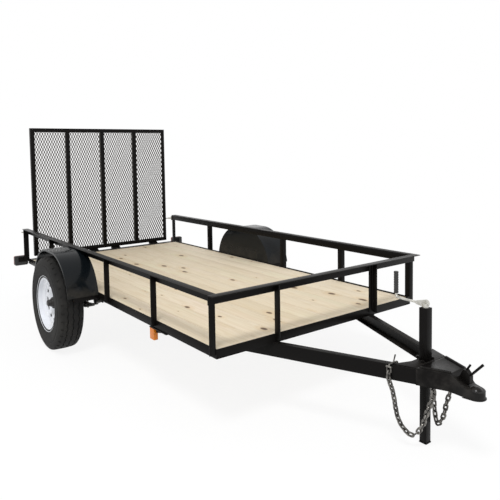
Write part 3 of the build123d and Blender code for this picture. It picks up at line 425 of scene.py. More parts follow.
# %% Pine colour
board = wood.mix(luck, (0.715, 0.625, 0.480), (0.625, 0.530, 0.380))
pink = wood.between(plank_noise(1.3, (1, 6, 6)), 0.5, 0.8)
green = wood.between(plank_noise(0.9, (1.3, 5, 5), detail=1), 0.55, 0.8)
for amount, colour in ((pink * 0.45, (0.76, 0.615, 0.520)),
                       (green * 0.4, (0.665, 0.650, 0.455)),
                       (grain * 0.42, (0.560, 0.435, 0.275)),
                       (halo * 0.30, (0.58, 0.40, 0.20)),
                       (knot, (0.135, 0.085, 0.050))):
    board = wood.mix(amount, board, colour)
wood.set(base_color=board, roughness=grain * 0.10 + fibre * 0.12 + 0.56)
wood.bump(grain * -0.6 + fibre * 0.5 - knot * 0.8, 0.0006)
finishes["deck_wood"] = wood
print("pine in", len(wood.tree.nodes), "nodes")

# %% [markdown]
# ## Rubber, white wheel and dark hub
#
# Tyre rubber is dark grey, not black, with a dull bloom that comes and goes. The wheel is
# smooth white enamel with a thin haze here and there, while its barrel, round the disc and
# behind it, is painted dark: painted shade, with a little brake dust. The hub is dark cast
# iron under paint, rougher than the rest.

# %% Rubber and iron
rubber = Finish("tyre_rubber", ior=1.28)
bloom = rubber.noise(7, detail=5)
grit = rubber.noise(240)
rubber.set(base_color=rubber.mix(rubber.between(bloom, 0.35, 0.75), (0.0095, 0.0092, 0.0090),
                                 (0.024, 0.023, 0.021)),
           roughness=bloom * 0.18 + grit * 0.12 + 0.58)
rubber.bump(grit + rubber.noise(900, detail=1) * 0.5, 0.00025)
finishes["tyre_rubber"] = rubber

iron = Finish("hub_iron", ior=1.40)
cast = iron.noise(60, detail=6)
iron.set(base_color=iron.mix(cast, (0.016, 0.015, 0.015), (0.042, 0.038, 0.034)),
         roughness=cast * 0.2 + 0.36)
iron.bump(cast + iron.noise(500, detail=2) * 0.3, 0.0004)
finishes["hub_dark"] = iron
print("rubber and iron")

# %% White enamel
# Where the enamel turns from white to painted shade, in metres.
BARREL_SIDE = (-0.028, -0.018)      # inwards from the wheel's middle: behind the outer lip
BARREL_RADIUS = (0.146, 0.152)      # out from the axle: past the edge of the disc
BEHIND_DISC = (0.006, 0.014)        # inwards from the wheel's middle: behind all of the disc


def centre(box):
    """Middle of a box that is given by its lowest and its highest corner."""
    return [sum(ends) / 2 for ends in zip(*box)]


AXLE_X, WHEEL_MIDDLE, AXLE_Z = centre(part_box("rim_left"))
enamel = Finish("wheel_enamel", ior=1.46, coat_roughness=0.08)
haze = enamel.between(enamel.noise(6, detail=6), 0.48, 0.80)
inward = WHEEL_MIDDLE - abs(enamel.axis("Y"))
ahead, above = enamel.axis("X") - AXLE_X, enamel.axis("Z") - AXLE_Z
radius = (ahead * ahead + above * above) ** 0.5
# Painted shade: the barrel round and behind the disc is coloured dark, with a little brake
# dust.
barrel = enamel.between(inward, *BARREL_SIDE) * enamel.between(radius, *BARREL_RADIUS)
dust_and_painted_light = enamel.node("Math", {0: barrel, 1: enamel.between(inward, *BEHIND_DISC)},
                    operation="MAXIMUM")
unshaded_enamel = enamel.mix(haze * 0.5, (0.78, 0.80, 0.84), (0.52, 0.50, 0.47))
enamel.set(base_color=enamel.mix(dust_and_painted_light * 0.9, unshaded_enamel, (0.030, 0.027, 0.024)),
           roughness=haze * 0.25 + 0.24, coat_weight=0.35 - haze * 0.25)
enamel.bump(enamel.noise(260, detail=2) + enamel.noise(22, detail=1) * 2, 0.00012)
finishes["wheel_white"] = enamel
print("wheels' middles at", round(AXLE_X, 3), round(WHEEL_MIDDLE, 3), round(AXLE_Z, 3))

# %% [markdown]
# ## Zinc, grip and lenses
#
# The crank, the latches and the screws are zinc plated: a soft metal shine, broken into faint
# crystals a few millimetres across. The grip is matt moulded plastic. Lenses are dyed
# plastic with a clear outer skin over small moulded prisms, so a bump in two directions lies
# under a smooth coat.

# %% Zinc and grip
zinc = Finish("zinc_plate")
crystal = zinc.node("SeparateColor", {0: zinc.node(
    "TexVoronoi", {"Vector": zinc.place, "Scale": 210}, output="Color")})
tarnish = zinc.noise(26, detail=5)
zinc.set(base_color=zinc.mix(zinc.between(tarnish, 0.4, 0.75), (0.66, 0.65, 0.60),
                             (0.40, 0.39, 0.35)),
         metallic=0.9 - zinc.between(tarnish, 0.6, 0.85) * 0.4,
         roughness=crystal * 0.12 + tarnish * 0.22 + 0.24)
zinc.bump(crystal * 0.3 + zinc.noise(400, detail=2), 0.00015)
finishes["zinc_steel"] = zinc

plastic = Finish("grip_plastic", ior=1.45)
pore = plastic.noise(700, detail=2)
plastic.set(base_color=plastic.mix(plastic.noise(30), (0.016, 0.016, 0.017),
                                   (0.032, 0.031, 0.030)),
            roughness=pore * 0.15 + 0.46)
plastic.bump(pore, 0.00015)
finishes["grip_black"] = plastic
print("zinc and grip plastic")

# %% Lenses
PRISM_WAVE = 1570           # radians a metre: a prism every 4 mm


def lens(name, deep, bright):
    """Dyed clear plastic over rows of small prisms."""
    dye = Finish(name, ior=1.28, coat_weight=0.35, coat_roughness=0.05)
    across = ((dye.axis("Y") + dye.axis("X")) * PRISM_WAVE).sine()
    up = (dye.axis("Z") * PRISM_WAVE).sine()
    lit = across * up * 0.25 + 0.5
    dye.set(base_color=dye.mix(lit + dye.noise(40) * 0.2, deep, bright),
            roughness=lit * 0.1 + 0.18)
    dye.bump(lit, 0.0002)
    return dye


finishes["lens_red"] = lens("red_lens", (0.13, 0.002, 0.003), (0.38, 0.008, 0.008))
finishes["lens_amber"] = lens("amber_lens", (0.42, 0.095, 0.004), (0.78, 0.24, 0.012))
print(len(finishes), "finishes")

# %% [markdown]
# ## Dressing the frame
#
# The frame's record says which finish each of its pieces wears, so dressing them is one
# loop: the piece's own material makes way for the finish of that name.

# %% Dress the frame's pieces


def dress(piece, slot):
    """Give a piece the finish of a slot."""
    piece.data.materials.clear()
    piece.data.materials.append(finishes[slot].material)


slot_of = {entry["node"]: entry["material_slot"] for entry in frame["record"]["subparts"]}
for node, slot in slot_of.items():
    dress(frame["nodes"][node], slot)
print("dressed", len(slot_of), "pieces")

# %% [markdown]
# ## Tools for shaping
#
# Every new piece starts as a primitive at its own size and place and is shaped in edit mode.
# A modeller picks faces with the mouse; `pick` does it by a test on each one, which finds the
# same faces every time.

# %% Tools for shaping
MM = 0.001
UPRIGHT = 0.9               # Z of the normal of a face that looks up


def edit_all():
    """Open the active piece in edit mode, all selected."""
    bpy.ops.object.mode_set(mode="EDIT")
    bpy.ops.mesh.select_mode(type="VERT")
    bpy.ops.mesh.select_all(action="SELECT")
    return bpy.context.object


def start(add, **shape):
    """Add a primitive, alone in the selection, and open it in edit mode."""
    bpy.ops.object.select_all(action="DESELECT")
    add(**shape)
    bpy.ops.object.transform_apply()
    return edit_all()


def pick(kind, test):
    """In edit mode, select the VERT, EDGE or FACE elements that pass a test, and count them."""
    mesh = bpy.context.object.data
    bpy.ops.mesh.select_all(action="DESELECT")
    bpy.ops.mesh.select_mode(type=kind)
    shape = bmesh.from_edit_mesh(mesh)
    elements = {"VERT": shape.verts, "EDGE": shape.edges, "FACE": shape.faces}[kind]
    found = [part for part in elements if test(part)]
    for part in found:
        part.select_set(True)
    shape.select_flush_mode()
    bmesh.update_edit_mesh(mesh)
    return len(found)


def middle(part):
    """Middle of a face or an edge."""
    return sum((corner.co for corner in part.verts), Vector()) / len(part.verts)


def looks_up(face):
    return face.normal.z > UPRIGHT


def looks_down(face):
    return face.normal.z < -UPRIGHT


def extrude(move):
    """Extrude the picked faces or vertices by a move."""
    bpy.ops.mesh.extrude_region_move(TRANSFORM_OT_translate={"value": move})


print("tools for shaping ready")

# %% [markdown]
# ## The gate's mesh
#
# The gate is filled with flattened expanded metal: a sheet that was slit and stretched into
# tall diamonds. Wherever two diamonds meet there is a short solid bond, and from each bond
# two thin strands climb to the bonds above. A pattern painted on a sheet would vanish at an
# angle, so the net is real metal: one bond with its two strands is modelled, and arrays
# repeat it.

# %% One bond with two strands
DIAMOND_W, DIAMOND_H = 25 * MM, 50 * MM
STRAND, BOND_H = 6 * MM, 12 * MM
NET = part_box("gate_mesh")
NET_T = NET[1][0] - NET[0][0]
net_corner = Vector((centre(NET)[0], NET[0][1], NET[0][2]))

net = start(bpy.ops.mesh.primitive_cube_add, size=1, location=net_corner,
            scale=(NET_T, 2 * STRAND, BOND_H))
bpy.ops.mesh.bisect(plane_co=net_corner, plane_no=(0, 1, 0))
pick("FACE", looks_down)
bpy.ops.mesh.delete(type="FACE")
for side in (-1, 1):
    pick("FACE", lambda face: looks_up(face) and side * (middle(face).y - net_corner.y) > 0)
    extrude((0, side * (DIAMOND_W / 2 - STRAND), DIAMOND_H / 2 - BOND_H))
    bpy.ops.mesh.delete(type="FACE")
print("bond and strands", len(bmesh.from_edit_mesh(net.data).faces), "faces")

# %% [markdown]
# The second row of bonds sits half a diamond over, so the pair is made first and then
# repeated across and up. Strand ends and bonds share corners, which merge into one sheet.

# %% The sheet
SHARED = 0.05 * MM          # strand ends closer than this are one corner

bpy.ops.mesh.select_all(action="SELECT")
bpy.ops.mesh.duplicate_move(TRANSFORM_OT_translate={"value": (0, DIAMOND_W / 2, DIAMOND_H / 2)})
bpy.ops.object.mode_set(mode="OBJECT")
for name, step, extent in (("across", (0, DIAMOND_W, 0), NET[1][1] - NET[0][1]),
                           ("up", (0, 0, DIAMOND_H), NET[1][2] - NET[0][2])):
    row = net.modifiers.new(name, "ARRAY")
    row.use_relative_offset = False
    row.use_constant_offset = True
    row.constant_offset_displace = step
    row.count = math.ceil(extent / max(step)) + 1
    bpy.ops.object.modifier_apply(modifier=name)
bpy.ops.object.mode_set(mode="EDIT")
bpy.ops.mesh.select_all(action="SELECT")
bpy.ops.mesh.remove_doubles(threshold=SHARED)
bpy.ops.transform.translate(value=(0, -DIAMOND_W / 4, -DIAMOND_H / 4))
bpy.ops.object.mode_set(mode="OBJECT")
print("sheet", len(net.data.polygons), "faces")

# %% [markdown]
# ## Tools for copies and for finished pieces
#
# Many pieces grow out of the frame's own: `take_copy` opens a merged copy of one, and
# `loose_boxes` measures the solids in it, which tells where the posts, bays and cross
# members are. `wear` gives a finished piece its shading, its finish and the body that it
# rides on.

# %% Tools for copies
MERGE = 0.01 * MM           # corners closer than this are one corner


def alone(piece):
    """Make a piece the active one, alone in the selection."""
    bpy.ops.object.select_all(action="DESELECT")
    piece.select_set(True)
    bpy.context.view_layer.objects.active = piece


def add_copy(mesh, name):
    """Put a copy of a mesh in the scene."""
    copy = bpy.data.objects.new(name, mesh.copy())
    bpy.context.collection.objects.link(copy)
    return copy


def open_copy(mesh, name):
    """Put a copy of a mesh in the scene and open it in edit mode, all selected."""
    alone(add_copy(mesh, name))
    return edit_all()


def take_copy(node):
    """A merged copy of one of the frame's pieces, open in edit mode, all selected."""
    copy = open_copy(frame["nodes"][node].data, node)
    bpy.ops.mesh.remove_doubles(threshold=MERGE)
    return copy


def loose_boxes(node):
    """Lowest and highest corner of each separate solid in one of the frame's pieces."""
    take_copy(node)
    bpy.ops.mesh.separate(type="LOOSE")
    bpy.ops.object.mode_set(mode="OBJECT")
    boxes = []
    for part in list(bpy.context.selected_objects):
        spots = [vertex.co for vertex in part.data.vertices]
        boxes.append([[pick_end(spot[axis] for spot in spots) for axis in range(3)]
                      for pick_end in (min, max)])
        bpy.data.objects.remove(part)
    return sorted(boxes)


panels = loose_boxes("gate_mesh")
print("the gate has", len(panels), "bays")

# %% Tools for finished pieces


def join(pieces):
    """Join pieces into one."""
    alone(pieces[-1])
    for piece in pieces:
        piece.select_set(True)
    if len(pieces) > 1:
        bpy.ops.object.join()
    return bpy.context.object


def wear(piece, name, slot, body, angle=35, replaces=()):
    """Close a piece: name, shading, finish, and the body that carries it."""
    if bpy.context.object.mode == "EDIT":
        bpy.ops.object.mode_set(mode="OBJECT")
    alone(piece)
    bpy.ops.object.shade_smooth_by_angle(angle=math.radians(angle))
    piece.name = piece.data.name = name
    dress(piece, slot)
    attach(piece, body)
    if replaces:
        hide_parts(*replaces)
    print(name, len(piece.data.polygons), "faces")
    return piece


print("tools for finished pieces ready")

# %% [markdown]
# The sheet is cut to each bay between the gate's uprights. The frame holds a plain panel in
# every bay; separated, the panels give the four places to cut.

# %% Cut the sheet to the bays
bays = []
for lowest, highest in panels:
    bay = open_copy(net.data, "bay")
    for place, facing in ((lowest, (0, -1, 0)), (highest, (0, 1, 0)),
                          (lowest, (0, 0, -1)), (highest, (0, 0, 1))):
        bpy.ops.mesh.select_all(action="SELECT")
        bpy.ops.mesh.bisect(plane_co=place, plane_no=facing, clear_outer=True)
    bpy.ops.object.mode_set(mode="OBJECT")
    bays.append(bay)
bpy.data.objects.remove(net)
wear(join(bays), "gate_net", "mesh_steel", "gate", angle=20, replaces=("gate_mesh",))

# %% [markdown]
# ## Tyres
#
# A trailer tyre has a nearly flat tread with three zigzag grooves, notched shoulders and
# raised rings on its walls. Its section is drawn point by point from one vertex, from bead to
# bead, and is then spun round the axle. Turning a real section gives every ring at once,
# where a torus would have to be carved.

# %% Tyre section
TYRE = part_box("tyre_right")
AXLE = Vector(centre(TYRE))
TYRE_R = (TYRE[1][2] - TYRE[0][2]) / 2
# The rest of this cell is in millimetres from the tyre's middle: across, then out.
GROOVES = (-40, 0, 40)
GROOVE_HALF = 4.0
CROWN_HALF, CROWN_DROP = 62, 2.6
WALL = ((81.0, 192.5), (81.0, 208.5), (85.5, 208.5), (88.5, 214), (90.4, 224), (90.0, 228),
        (92.0, 246), (93.0, 262), (93.6, 274), (93.0, 286), (91.4, 287.2), (91.0, 291),
        (91.6, 292.6), (88.5, 308), (84.5, 321), (79.5, 331), (73.0, 338.6), (62.0, 341.4))


def crown(across):
    """Radius of the tread at a distance from its middle."""
    return TYRE_R / MM - CROWN_DROP * (across / CROWN_HALF) ** 2


groove_edges = [groove + side * GROOVE_HALF for groove in GROOVES for side in (-1, 1)]
section = ([(-across, radius) for across, radius in WALL]
           + [(across, crown(across)) for across in groove_edges] + list(reversed(WALL)))

tyre = start(bpy.ops.mesh.primitive_plane_add, size=0.01, location=AXLE)
bpy.ops.mesh.merge(type="CENTER")
here = Vector((0, 0, 0))
for across, radius in section + section[:1]:
    there = Vector((0, across, radius)) * MM
    if here.length == 0:
        bpy.ops.transform.translate(value=there)
    else:
        extrude(there - here)
    here = there
bpy.ops.mesh.select_all(action="SELECT")
bpy.ops.mesh.remove_doubles(threshold=MERGE)
print("tyre section of", len(section), "points")

# %% [markdown]
# In every second pair of steps of the spin, the grooves' edges move sideways, which makes the
# zigzag. The faces between them then sink, and so do a few on each shoulder. A painted tread
# would leave the tyre's outline smooth; sunken faces notch it.

# %% Spin and zigzag
STEPS = 144
PERIOD = 4                  # steps in which the zigzag and the notches repeat
ZIGZAG = 5.5                # millimetres
TREAD_RADIUS = 330          # millimetres: the tread is all that lies further out
NEAR_EDGE = 0.5             # millimetres

bpy.ops.mesh.spin(steps=STEPS, angle=math.tau, center=AXLE, axis=(0, 1, 0))
bpy.ops.mesh.select_all(action="SELECT")
bpy.ops.mesh.remove_doubles(threshold=MERGE)
bpy.ops.mesh.normals_make_consistent(inside=False)


def around(place):
    """Which step of the spin a place lies in, its radius and its distance across in mm."""
    arm = place - AXLE
    step = math.atan2(arm.x, arm.z) / math.tau * STEPS
    return step, math.hypot(arm.x, arm.z) / MM, arm.y / MM


def groove_edge(vertex):
    """True for a groove's edge in every second pair of steps."""
    step, radius, across = around(vertex.co)
    on_edge = any(abs(abs(across - groove) - GROOVE_HALF) < NEAR_EDGE for groove in GROOVES)
    return on_edge and radius > TREAD_RADIUS and round(step) % PERIOD < PERIOD / 2


print("zigzag vertices", pick("VERT", groove_edge))
bpy.ops.transform.translate(value=(0, ZIGZAG * MM, 0))

# %% Grooves and shoulder notches
# All in millimetres.
GROOVE_DEPTH, NOTCH_DEPTH = 7, 4
CROWN_RADIUS = 338          # the crown is all that lies further out
NEAR_MIDDLE = 3             # a groove's faces have their middle closer than this to its own
SHOULDER_RADIUS, SHOULDER_ACROSS = (332, 341.5), (62, 80)


def groove_floor(face):
    """True for a face in one of the grooves, whose middle has moved by half the zigzag."""
    _, radius, across = around(middle(face))
    return radius > CROWN_RADIUS and any(abs(across - groove - ZIGZAG / 2) < NEAR_MIDDLE
                                         for groove in GROOVES)


def shoulder_notch(face):
    """True for one face in every period of each shoulder."""
    step, radius, across = around(middle(face))
    return (SHOULDER_RADIUS[0] < radius < SHOULDER_RADIUS[1]
            and SHOULDER_ACROSS[0] < abs(across) < SHOULDER_ACROSS[1]
            and math.floor(step) % PERIOD == 0)


for name, test, depth in (("groove", groove_floor, GROOVE_DEPTH),
                          ("notch", shoulder_notch, NOTCH_DEPTH)):
    print(name, "faces", pick("FACE", test))
    bpy.ops.mesh.extrude_region_shrink_fatten(TRANSFORM_OT_shrink_fatten={"value": -depth * MM})
bpy.ops.object.mode_set(mode="OBJECT")

# %% [markdown]
# Both tyres are alike, so one is modelled, and `repeat` copies it to each wheel. A mirrored
# copy would turn the zigzag round as well, and it would need its faces turned back.

# %% Both tyres


def repeat(piece, places):
    """Copy a piece by each matrix, every copy with its own mesh, and join the copies."""
    copies = []
    for place in places:
        copy = add_copy(piece.data, piece.name)
        copy.matrix_world = place
        copies.append(copy)
    joined = join(copies)
    bpy.ops.object.transform_apply()
    return joined


for side, across in (("right", 0), ("left", -2 * AXLE.y)):
    wear(repeat(tyre, [Matrix.Translation((0, across, 0))]), f"treaded_tyre_{side}",
         "tyre_rubber", f"wheel_{side}", replaces=(f"tyre_{side}",))
bpy.data.objects.remove(tyre)

# %% [markdown]
# ## Planks and screws
#
# Planks are sawn square and then lose their sharp corners, so each one needs a small round
# all along. The frame's planks are boxes; a merged copy with its edges bevelled keeps their
# size.

# %% Planks with softened edges
PLANK_EDGE = 2.5 * MM

planks = take_copy("deck_boards")
bpy.ops.mesh.dissolve_limited(angle_limit=math.radians(1))
bpy.ops.mesh.select_all(action="SELECT")
bpy.ops.mesh.bevel(offset=PLANK_EDGE, segments=2, affect="EDGES")
wear(planks, "pine_planks", "deck_wood", "chassis", angle=50, replaces=("deck_boards",))

# %% [markdown]
# Flat-headed screws hold every plank to the cross members and the end beams, two at each
# crossing. There are over a hundred, so a head has few faces: a disc with a rim stepped in
# and a sunken drive. No one drives screws along a ruler, so each one strays a little.

# %% One screw
HEAD_R, HEAD_H = 4.6 * MM, 2 * MM
RIM_W, RIM_RISE = 0.7 * MM, 0.25 * MM
FLAT_W, DRIVE_DEPTH = 1.7 * MM, 1 * MM      # flat ring round the drive, and the drive

screw = start(bpy.ops.mesh.primitive_cylinder_add, vertices=10, radius=HEAD_R, depth=HEAD_H)
pick("FACE", looks_up)
bpy.ops.mesh.inset(thickness=RIM_W, depth=RIM_RISE)
bpy.ops.mesh.inset(thickness=FLAT_W)
extrude((0, 0, -DRIVE_DEPTH))
pick("FACE", looks_down)
bpy.ops.mesh.delete(type="FACE")
bpy.ops.object.mode_set(mode="OBJECT")
print("screw head", round(HEAD_R * 2 / MM, 1), "mm across")

# %% Screws over every cross member
ACROSS_PLANK = (0.22, 0.78)     # the two screws' places, as parts of a plank's width
FROM_END = 26 * MM              # the end rows' distance from the planks' ends
SUNK = 0.9 * MM                 # how far a screw's middle lies under the planks' top
STRAY = 3                       # millimetres

rows = [centre(box)[0] for box in loose_boxes("deck_crossmembers")]
rows += [PLANKS[1][0] - FROM_END, PLANKS[0][0] + FROM_END]
places = []
for plank in range(PLANK_COUNT):
    edge_y = PLANKS[0][1] + plank * PLANK_PITCH
    for row, x in enumerate(rows):
        for part in ACROSS_PLANK:
            stray = Vector((math.sin(7.1 * plank + 3.3 * row),
                            math.sin(5.7 * plank + 9.1 * part), 0)) * STRAY * MM
            spot = Vector((x, edge_y + part * PLANK_PITCH, PLANKS[1][2] - SUNK)) + stray
            places.append(Matrix.Translation(spot) @ Matrix.Rotation(plank * 2.4 + row, 4, "Z"))
wear(repeat(screw, places), "deck_screws", "zinc_steel", "chassis")
bpy.data.objects.remove(screw)
print(len(places), "screws")

# %% [markdown]
# ## Eased steel edges
#
# Rolled angle iron and folded plate never have knife edges: a small round catches a thin line
# of light and makes black steel readable. The frame's angles, channels, tubes and larger
# plates are copied, merged back into flat faces, and get a narrow bevel wherever two faces
# meet sharply. The coupler is pressed from thick plate, so its edges turn more softly.

# %% Ease the steel
STEEL_EDGE, COUPLER_EDGE = 1.2, 2.6     # millimetres
EASED = ("frame_", "side_posts", "front_posts", "top_rail", "tongue_", "gate_sides", "gate_top",
         "gate_bottom", "gate_uprights", "deck_crossmembers", "jack_tube", "jack_leg",
         "jack_foot", "fender_brackets")


def soften(piece, width, segments=2, sharp=40):
    """Leave edit mode and bevel the edges that are sharper than an angle; width in mm."""
    bpy.ops.object.mode_set(mode="OBJECT")
    edge = piece.modifiers.new("edge", "BEVEL")
    edge.width, edge.segments, edge.angle_limit = width * MM, segments, math.radians(sharp)
    bpy.ops.object.modifier_apply(modifier="edge")


def ease(node, width, **bevel):
    """A copy of one of the frame's pieces with its sharp edges softened."""
    copy = take_copy(node)
    bpy.ops.mesh.dissolve_limited(angle_limit=math.radians(0.5))
    soften(copy, width, **bevel)
    return copy


body_of = {node: body for body, nodes in frame["record"]["behaviour"]["bodies"].items()
           for node in nodes}
for node in [node for node in body_of if node.startswith(EASED)] + ["coupler"]:
    eased = ease(node, COUPLER_EDGE if node == "coupler" else STEEL_EDGE)
    wear(eased, f"{node}_eased", slot_of[node], body_of[node], angle=45, replaces=(node,))

# %% [markdown]
# ## A polished nose for the coupler
#
# Hands and greasy rags rub the coupler's nose, which polishes its paint. A clear coat over
# the whole coupler would mirror so much sky that it looks grey, so the frame's black gets
# one that fades out behind the nose and is broken by smears.

# %% A polished nose for the coupler
NOSE_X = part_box("coupler")[1][0]
POLISH_ENDS, POLISH_FULL = 0.16, 0.07       # metres behind the tip

nose = Finish("coupler_black", ior=BLACK_IOR, coat_roughness=0.06)
smear = nose.noise(14, detail=4)
rubbed = nose.between(nose.axis("X"), NOSE_X - POLISH_ENDS, NOSE_X - POLISH_FULL)
nose.set(base_color=nose.mix(nose.between(smear, 0.45, 0.8), SATIN_BLACK,
                             (0.024, 0.022, 0.020)),
         roughness=smear * 0.14 + 0.26, coat_weight=rubbed * (0.34 - smear * 0.20))
nose.bump(nose.noise(260, detail=2) + nose.noise(30, detail=1) * 2, 0.00012)
bpy.data.objects["coupler_eased"].data.materials[0] = nose.material
print("coupler polished over", round(POLISH_ENDS / MM), "mm from its tip")

# %% [markdown]
# ## Safety chains
#
# The frame's links are already joined one through the next, but cut square. Bevelled from all
# four sides, their wire turns round. Chain is plated more thinly than the crank and dulls
# sooner, so it wears a darker version of the zinc finish.

# %% Dull zinc for chain
dull = Finish("dull_zinc")
worn = dull.noise(60, detail=4)
dull.set(base_color=dull.mix(dull.between(worn, 0.35, 0.7), (0.24, 0.23, 0.21),
                             (0.055, 0.052, 0.050)),
         metallic=0.85, roughness=worn * 0.25 + 0.24)
dull.bump(dull.noise(500, detail=2), 0.0001)
print("finish for chain:", dull.material.name)

# %% Round the chain's wire
WIRE_EDGE = 2.4             # millimetres, a third of the wire's thickness

for side in ("right", "left"):
    node = f"safety_chain_{side}"
    links = wear(ease(node, WIRE_EDGE, segments=3, sharp=55), f"chain_{side}", slot_of[node],
                 "chassis", angle=60, replaces=(node,))
    links.data.materials[0] = dull.material

# %% [markdown]
# ## Weld beads
#
# Every post, upright and tongue member is held by a bead of weld, a little ridge of
# overlapping ripples. One bead is a thin bar with its rings swollen in turn, then copied
# into the corners. Beads are small, but where they are missing, steel looks glued.

# %% One weld bead
BEAD_R, BEAD_LENGTH, RIPPLES = 2.6 * MM, 28 * MM, 9
SWELL, TAPER = 1.25, 0.5        # scale of every second ring, and of the two ends


def long_edge(length):
    """A test for edges that rise by more than half a length."""
    return lambda edge: abs((edge.verts[0].co - edge.verts[1].co).z) > length / 2


bead = start(bpy.ops.mesh.primitive_cylinder_add, vertices=8, radius=BEAD_R, depth=BEAD_LENGTH)
pick("EDGE", long_edge(BEAD_LENGTH))
bpy.ops.mesh.subdivide(number_cuts=RIPPLES)
step = BEAD_LENGTH / (RIPPLES + 1)
pick("VERT", lambda vertex: round((vertex.co.z + BEAD_LENGTH / 2) / step) % 2 == 1)
bpy.ops.transform.resize(value=(SWELL, SWELL, 1))
pick("VERT", lambda vertex: abs(vertex.co.z) > BEAD_LENGTH / 2 - step / 2)
bpy.ops.transform.resize(value=(TAPER, TAPER, 1))
bpy.ops.object.mode_set(mode="OBJECT")
print("bead of", RIPPLES, "rings")

# %% Beads where posts, uprights and tongue are welded
ALONG_Y = Matrix.Rotation(math.pi / 2, 4, "X")
TONGUE_Y = 0.392            # metres: where each tongue member passes under the front beam
BEAD_STEP = 0.013           # metres: from there to the middle of a bead on either side
FRONT_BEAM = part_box("frame_front_beam")
FRONT_FACE, POST_LEVEL = FRONT_BEAM[1][0], FRONT_BEAM[1][2] - BEAD_LENGTH / 2

places = []
for side, end in (("right", 0), ("left", 1)):
    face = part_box(f"frame_side_{side}")[end][1]
    for lowest, highest in loose_boxes(f"side_posts_{side}"):
        places += [Matrix.Translation((x, face, POST_LEVEL)) for x in (lowest[0], highest[0])]
for lowest, highest in loose_boxes("front_posts"):
    places += [Matrix.Translation((FRONT_FACE, y, POST_LEVEL)) for y in (lowest[1], highest[1])]
for side in (-1, 1):
    for off in (-BEAD_STEP, BEAD_STEP):
        spot = (FRONT_FACE, side * (TONGUE_Y + off), FRONT_BEAM[0][2])
        places.append(Matrix.Translation(spot) @ ALONG_Y)
gate_places = []
for box in loose_boxes("gate_uprights") + loose_boxes("gate_sides"):
    for level in (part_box("gate_bottom_rail")[1][2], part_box("gate_top_rail")[0][2]):
        spot = (box[1][0], centre(box)[1], level)
        gate_places.append(Matrix.Translation(spot) @ ALONG_Y)
wear(repeat(bead, places), "frame_beads", "frame_black", "chassis", angle=60)
wear(repeat(bead, gate_places), "gate_beads", "frame_black", "gate", angle=60)
bpy.data.objects.remove(bead)
print(len(places), "beads on the frame,", len(gate_places), "on the gate")

# %% [markdown]
# ## Jack bolts
#
# The jack is held to its plate by three hexagon bolts on washers. Both are short cylinders,
# the head with six sides only, and a step inset in each top face makes the chamfer that
# real ones have.

# %% Jack bolts
WASHER_R, WASHER_H, WASHER_STEP = 11 * MM, 1.8 * MM, (0.8 * MM, 0.3 * MM)
BOLT_R, BOLT_H, BOLT_STEP = 9.4 * MM, 6.4 * MM, (1.3 * MM, 0.8 * MM)
BOLT_PLACES = ((-0.044, 0), (0.012, 0.040), (0.012, -0.040))    # metres from the jack's middle

stack = []
for sides, radius, height, low, (inward, rise) in (
        (20, WASHER_R, WASHER_H, 0, WASHER_STEP), (6, BOLT_R, BOLT_H, WASHER_H, BOLT_STEP)):
    stack.append(start(bpy.ops.mesh.primitive_cylinder_add, vertices=sides, radius=radius,
                       depth=height, location=(0, 0, low + height / 2)))
    pick("FACE", looks_up)
    bpy.ops.mesh.inset(thickness=inward, depth=rise)
    bpy.ops.object.mode_set(mode="OBJECT")
bolt = join(stack)
jack_x, jack_y, _ = centre(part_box("jack_tube"))
plate_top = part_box("tongue_plate")[1][2]
places = [Matrix.Translation((jack_x + forward, jack_y + aside, plate_top))
          for forward, aside in BOLT_PLACES]
wear(repeat(bolt, places), "jack_bolts", "frame_black", "chassis")
bpy.data.objects.remove(bolt)

# %% [markdown]
# ## Finger grip
#
# The jack's crank ends in a moulded grip with finger rings. Turning one from a drawn section
# would work too, but a bar that is cut into rings, with every third ring pulled in, takes
# fewer steps.

# %% Finger grip
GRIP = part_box("jack_grip")
GRIP_R, GRIP_H = (GRIP[1][1] - GRIP[0][1]) / 2, GRIP[1][2] - GRIP[0][2]
GRIP_RINGS, EVERY, PULLED_IN = 27, 3, 0.87      # every third ring is scaled to this
GRIP_EDGE = 2 * MM

grip = start(bpy.ops.mesh.primitive_cylinder_add, vertices=24, radius=GRIP_R, depth=GRIP_H,
             location=centre(GRIP))
pick("EDGE", long_edge(GRIP_H))
bpy.ops.mesh.subdivide(number_cuts=GRIP_RINGS - 1)
ring_height = GRIP_H / GRIP_RINGS
for ring in range(EVERY, GRIP_RINGS, EVERY):
    level = GRIP[0][2] + ring * ring_height
    pick("VERT", lambda vertex: abs(vertex.co.z - level) < ring_height / 4)
    bpy.ops.transform.resize(value=(PULLED_IN, PULLED_IN, 1))
grip_middle = (GRIP[0][2] + GRIP[1][2]) / 2
pick("EDGE", lambda edge: all(abs(abs(end.co.z - grip_middle) - GRIP_H / 2) < 0.1 * MM
                              for end in edge.verts))
bpy.ops.mesh.bevel(offset=GRIP_EDGE, segments=3, affect="EDGES")
wear(grip, "finger_grip", "grip_black", "chassis", replaces=("jack_grip",))

# %% [markdown]
# ## Valve stems
#
# Each wheel has a rubber valve stem in the well of its rim, easy to forget and quickly
# missed. It is a short bar with a wider foot and a cap, which insets and an extrusion make
# from one cylinder, and it is laid on its side when it is copied to each wheel.

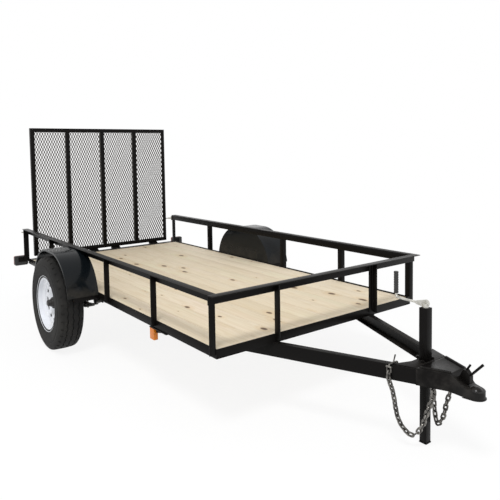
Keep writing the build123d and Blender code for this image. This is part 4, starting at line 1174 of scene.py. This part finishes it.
# %% Valve stems
STEM_R, STEM_LENGTH, CAP_H = 4.2 * MM, 26 * MM, 7 * MM
NECK_STEP, CAP_STEP = (1.1 * MM, 0.8 * MM), (0.6 * MM, 0.5 * MM)
FOOT = 1.4                              # the foot's width over the stem's
STEM_TURN = math.radians(28)            # forward from the top of the wheel
FROM_AXLE, STEM_OUT = 0.166, 0.048      # metres from the axle, and out from the wheel's middle

stem = start(bpy.ops.mesh.primitive_cylinder_add, vertices=12, radius=STEM_R, depth=STEM_LENGTH)
pick("FACE", looks_up)
bpy.ops.mesh.inset(thickness=NECK_STEP[0], depth=NECK_STEP[1])
extrude((0, 0, CAP_H))
bpy.ops.mesh.inset(thickness=CAP_STEP[0], depth=CAP_STEP[1])
pick("FACE", looks_down)
bpy.ops.transform.resize(value=(FOOT, FOOT, 1))
bpy.ops.object.mode_set(mode="OBJECT")
for side, sign in (("right", -1), ("left", 1)):
    spot = Vector((AXLE_X + math.sin(STEM_TURN) * FROM_AXLE, sign * (WHEEL_MIDDLE + STEM_OUT),
                   AXLE_Z + math.cos(STEM_TURN) * FROM_AXLE))
    outward = Matrix.Rotation(-sign * math.pi / 2, 4, "X")
    wear(repeat(stem, [Matrix.Translation(spot) @ outward]), f"valve_stem_{side}",
         "grip_black", f"wheel_{side}", angle=50)
bpy.data.objects.remove(stem)

# %% [markdown]
# ## Lamps
#
# A lamp's lens is moulded with a flat border, a groove inside it, and a field that rises
# again out of the groove. The frame's lens blocks are copied, their outer faces are inset
# three times, and all edges are eased.

# %% Lens borders
FLAT = 0.0008       # square metres: a lens's flat outer face is larger, its rounded edge is not
LENS_EDGE = 1.2     # millimetres
INSETS = ((5, 0), (1.5, -2), (1, 1.4))      # millimetres in from the edge, and out or down

for node, facing in (("tail_light_lenses", lambda face: face.normal.x < -0.99),
                     ("side_marker_lenses", lambda face: face.normal.y * middle(face).y > 0.7)):
    cover = take_copy(node)
    bpy.ops.mesh.dissolve_limited(angle_limit=math.radians(1))
    found = pick("FACE", lambda face: facing(face) and face.calc_area() > FLAT)
    print(node, found, "outer faces")
    for thickness, depth in INSETS:
        bpy.ops.mesh.inset(thickness=thickness * MM, depth=depth * MM, use_individual=True)
    soften(cover, LENS_EDGE)
    wear(cover, node.replace("lenses", "covers"), slot_of[node], "chassis", angle=50,
         replaces=(node,))
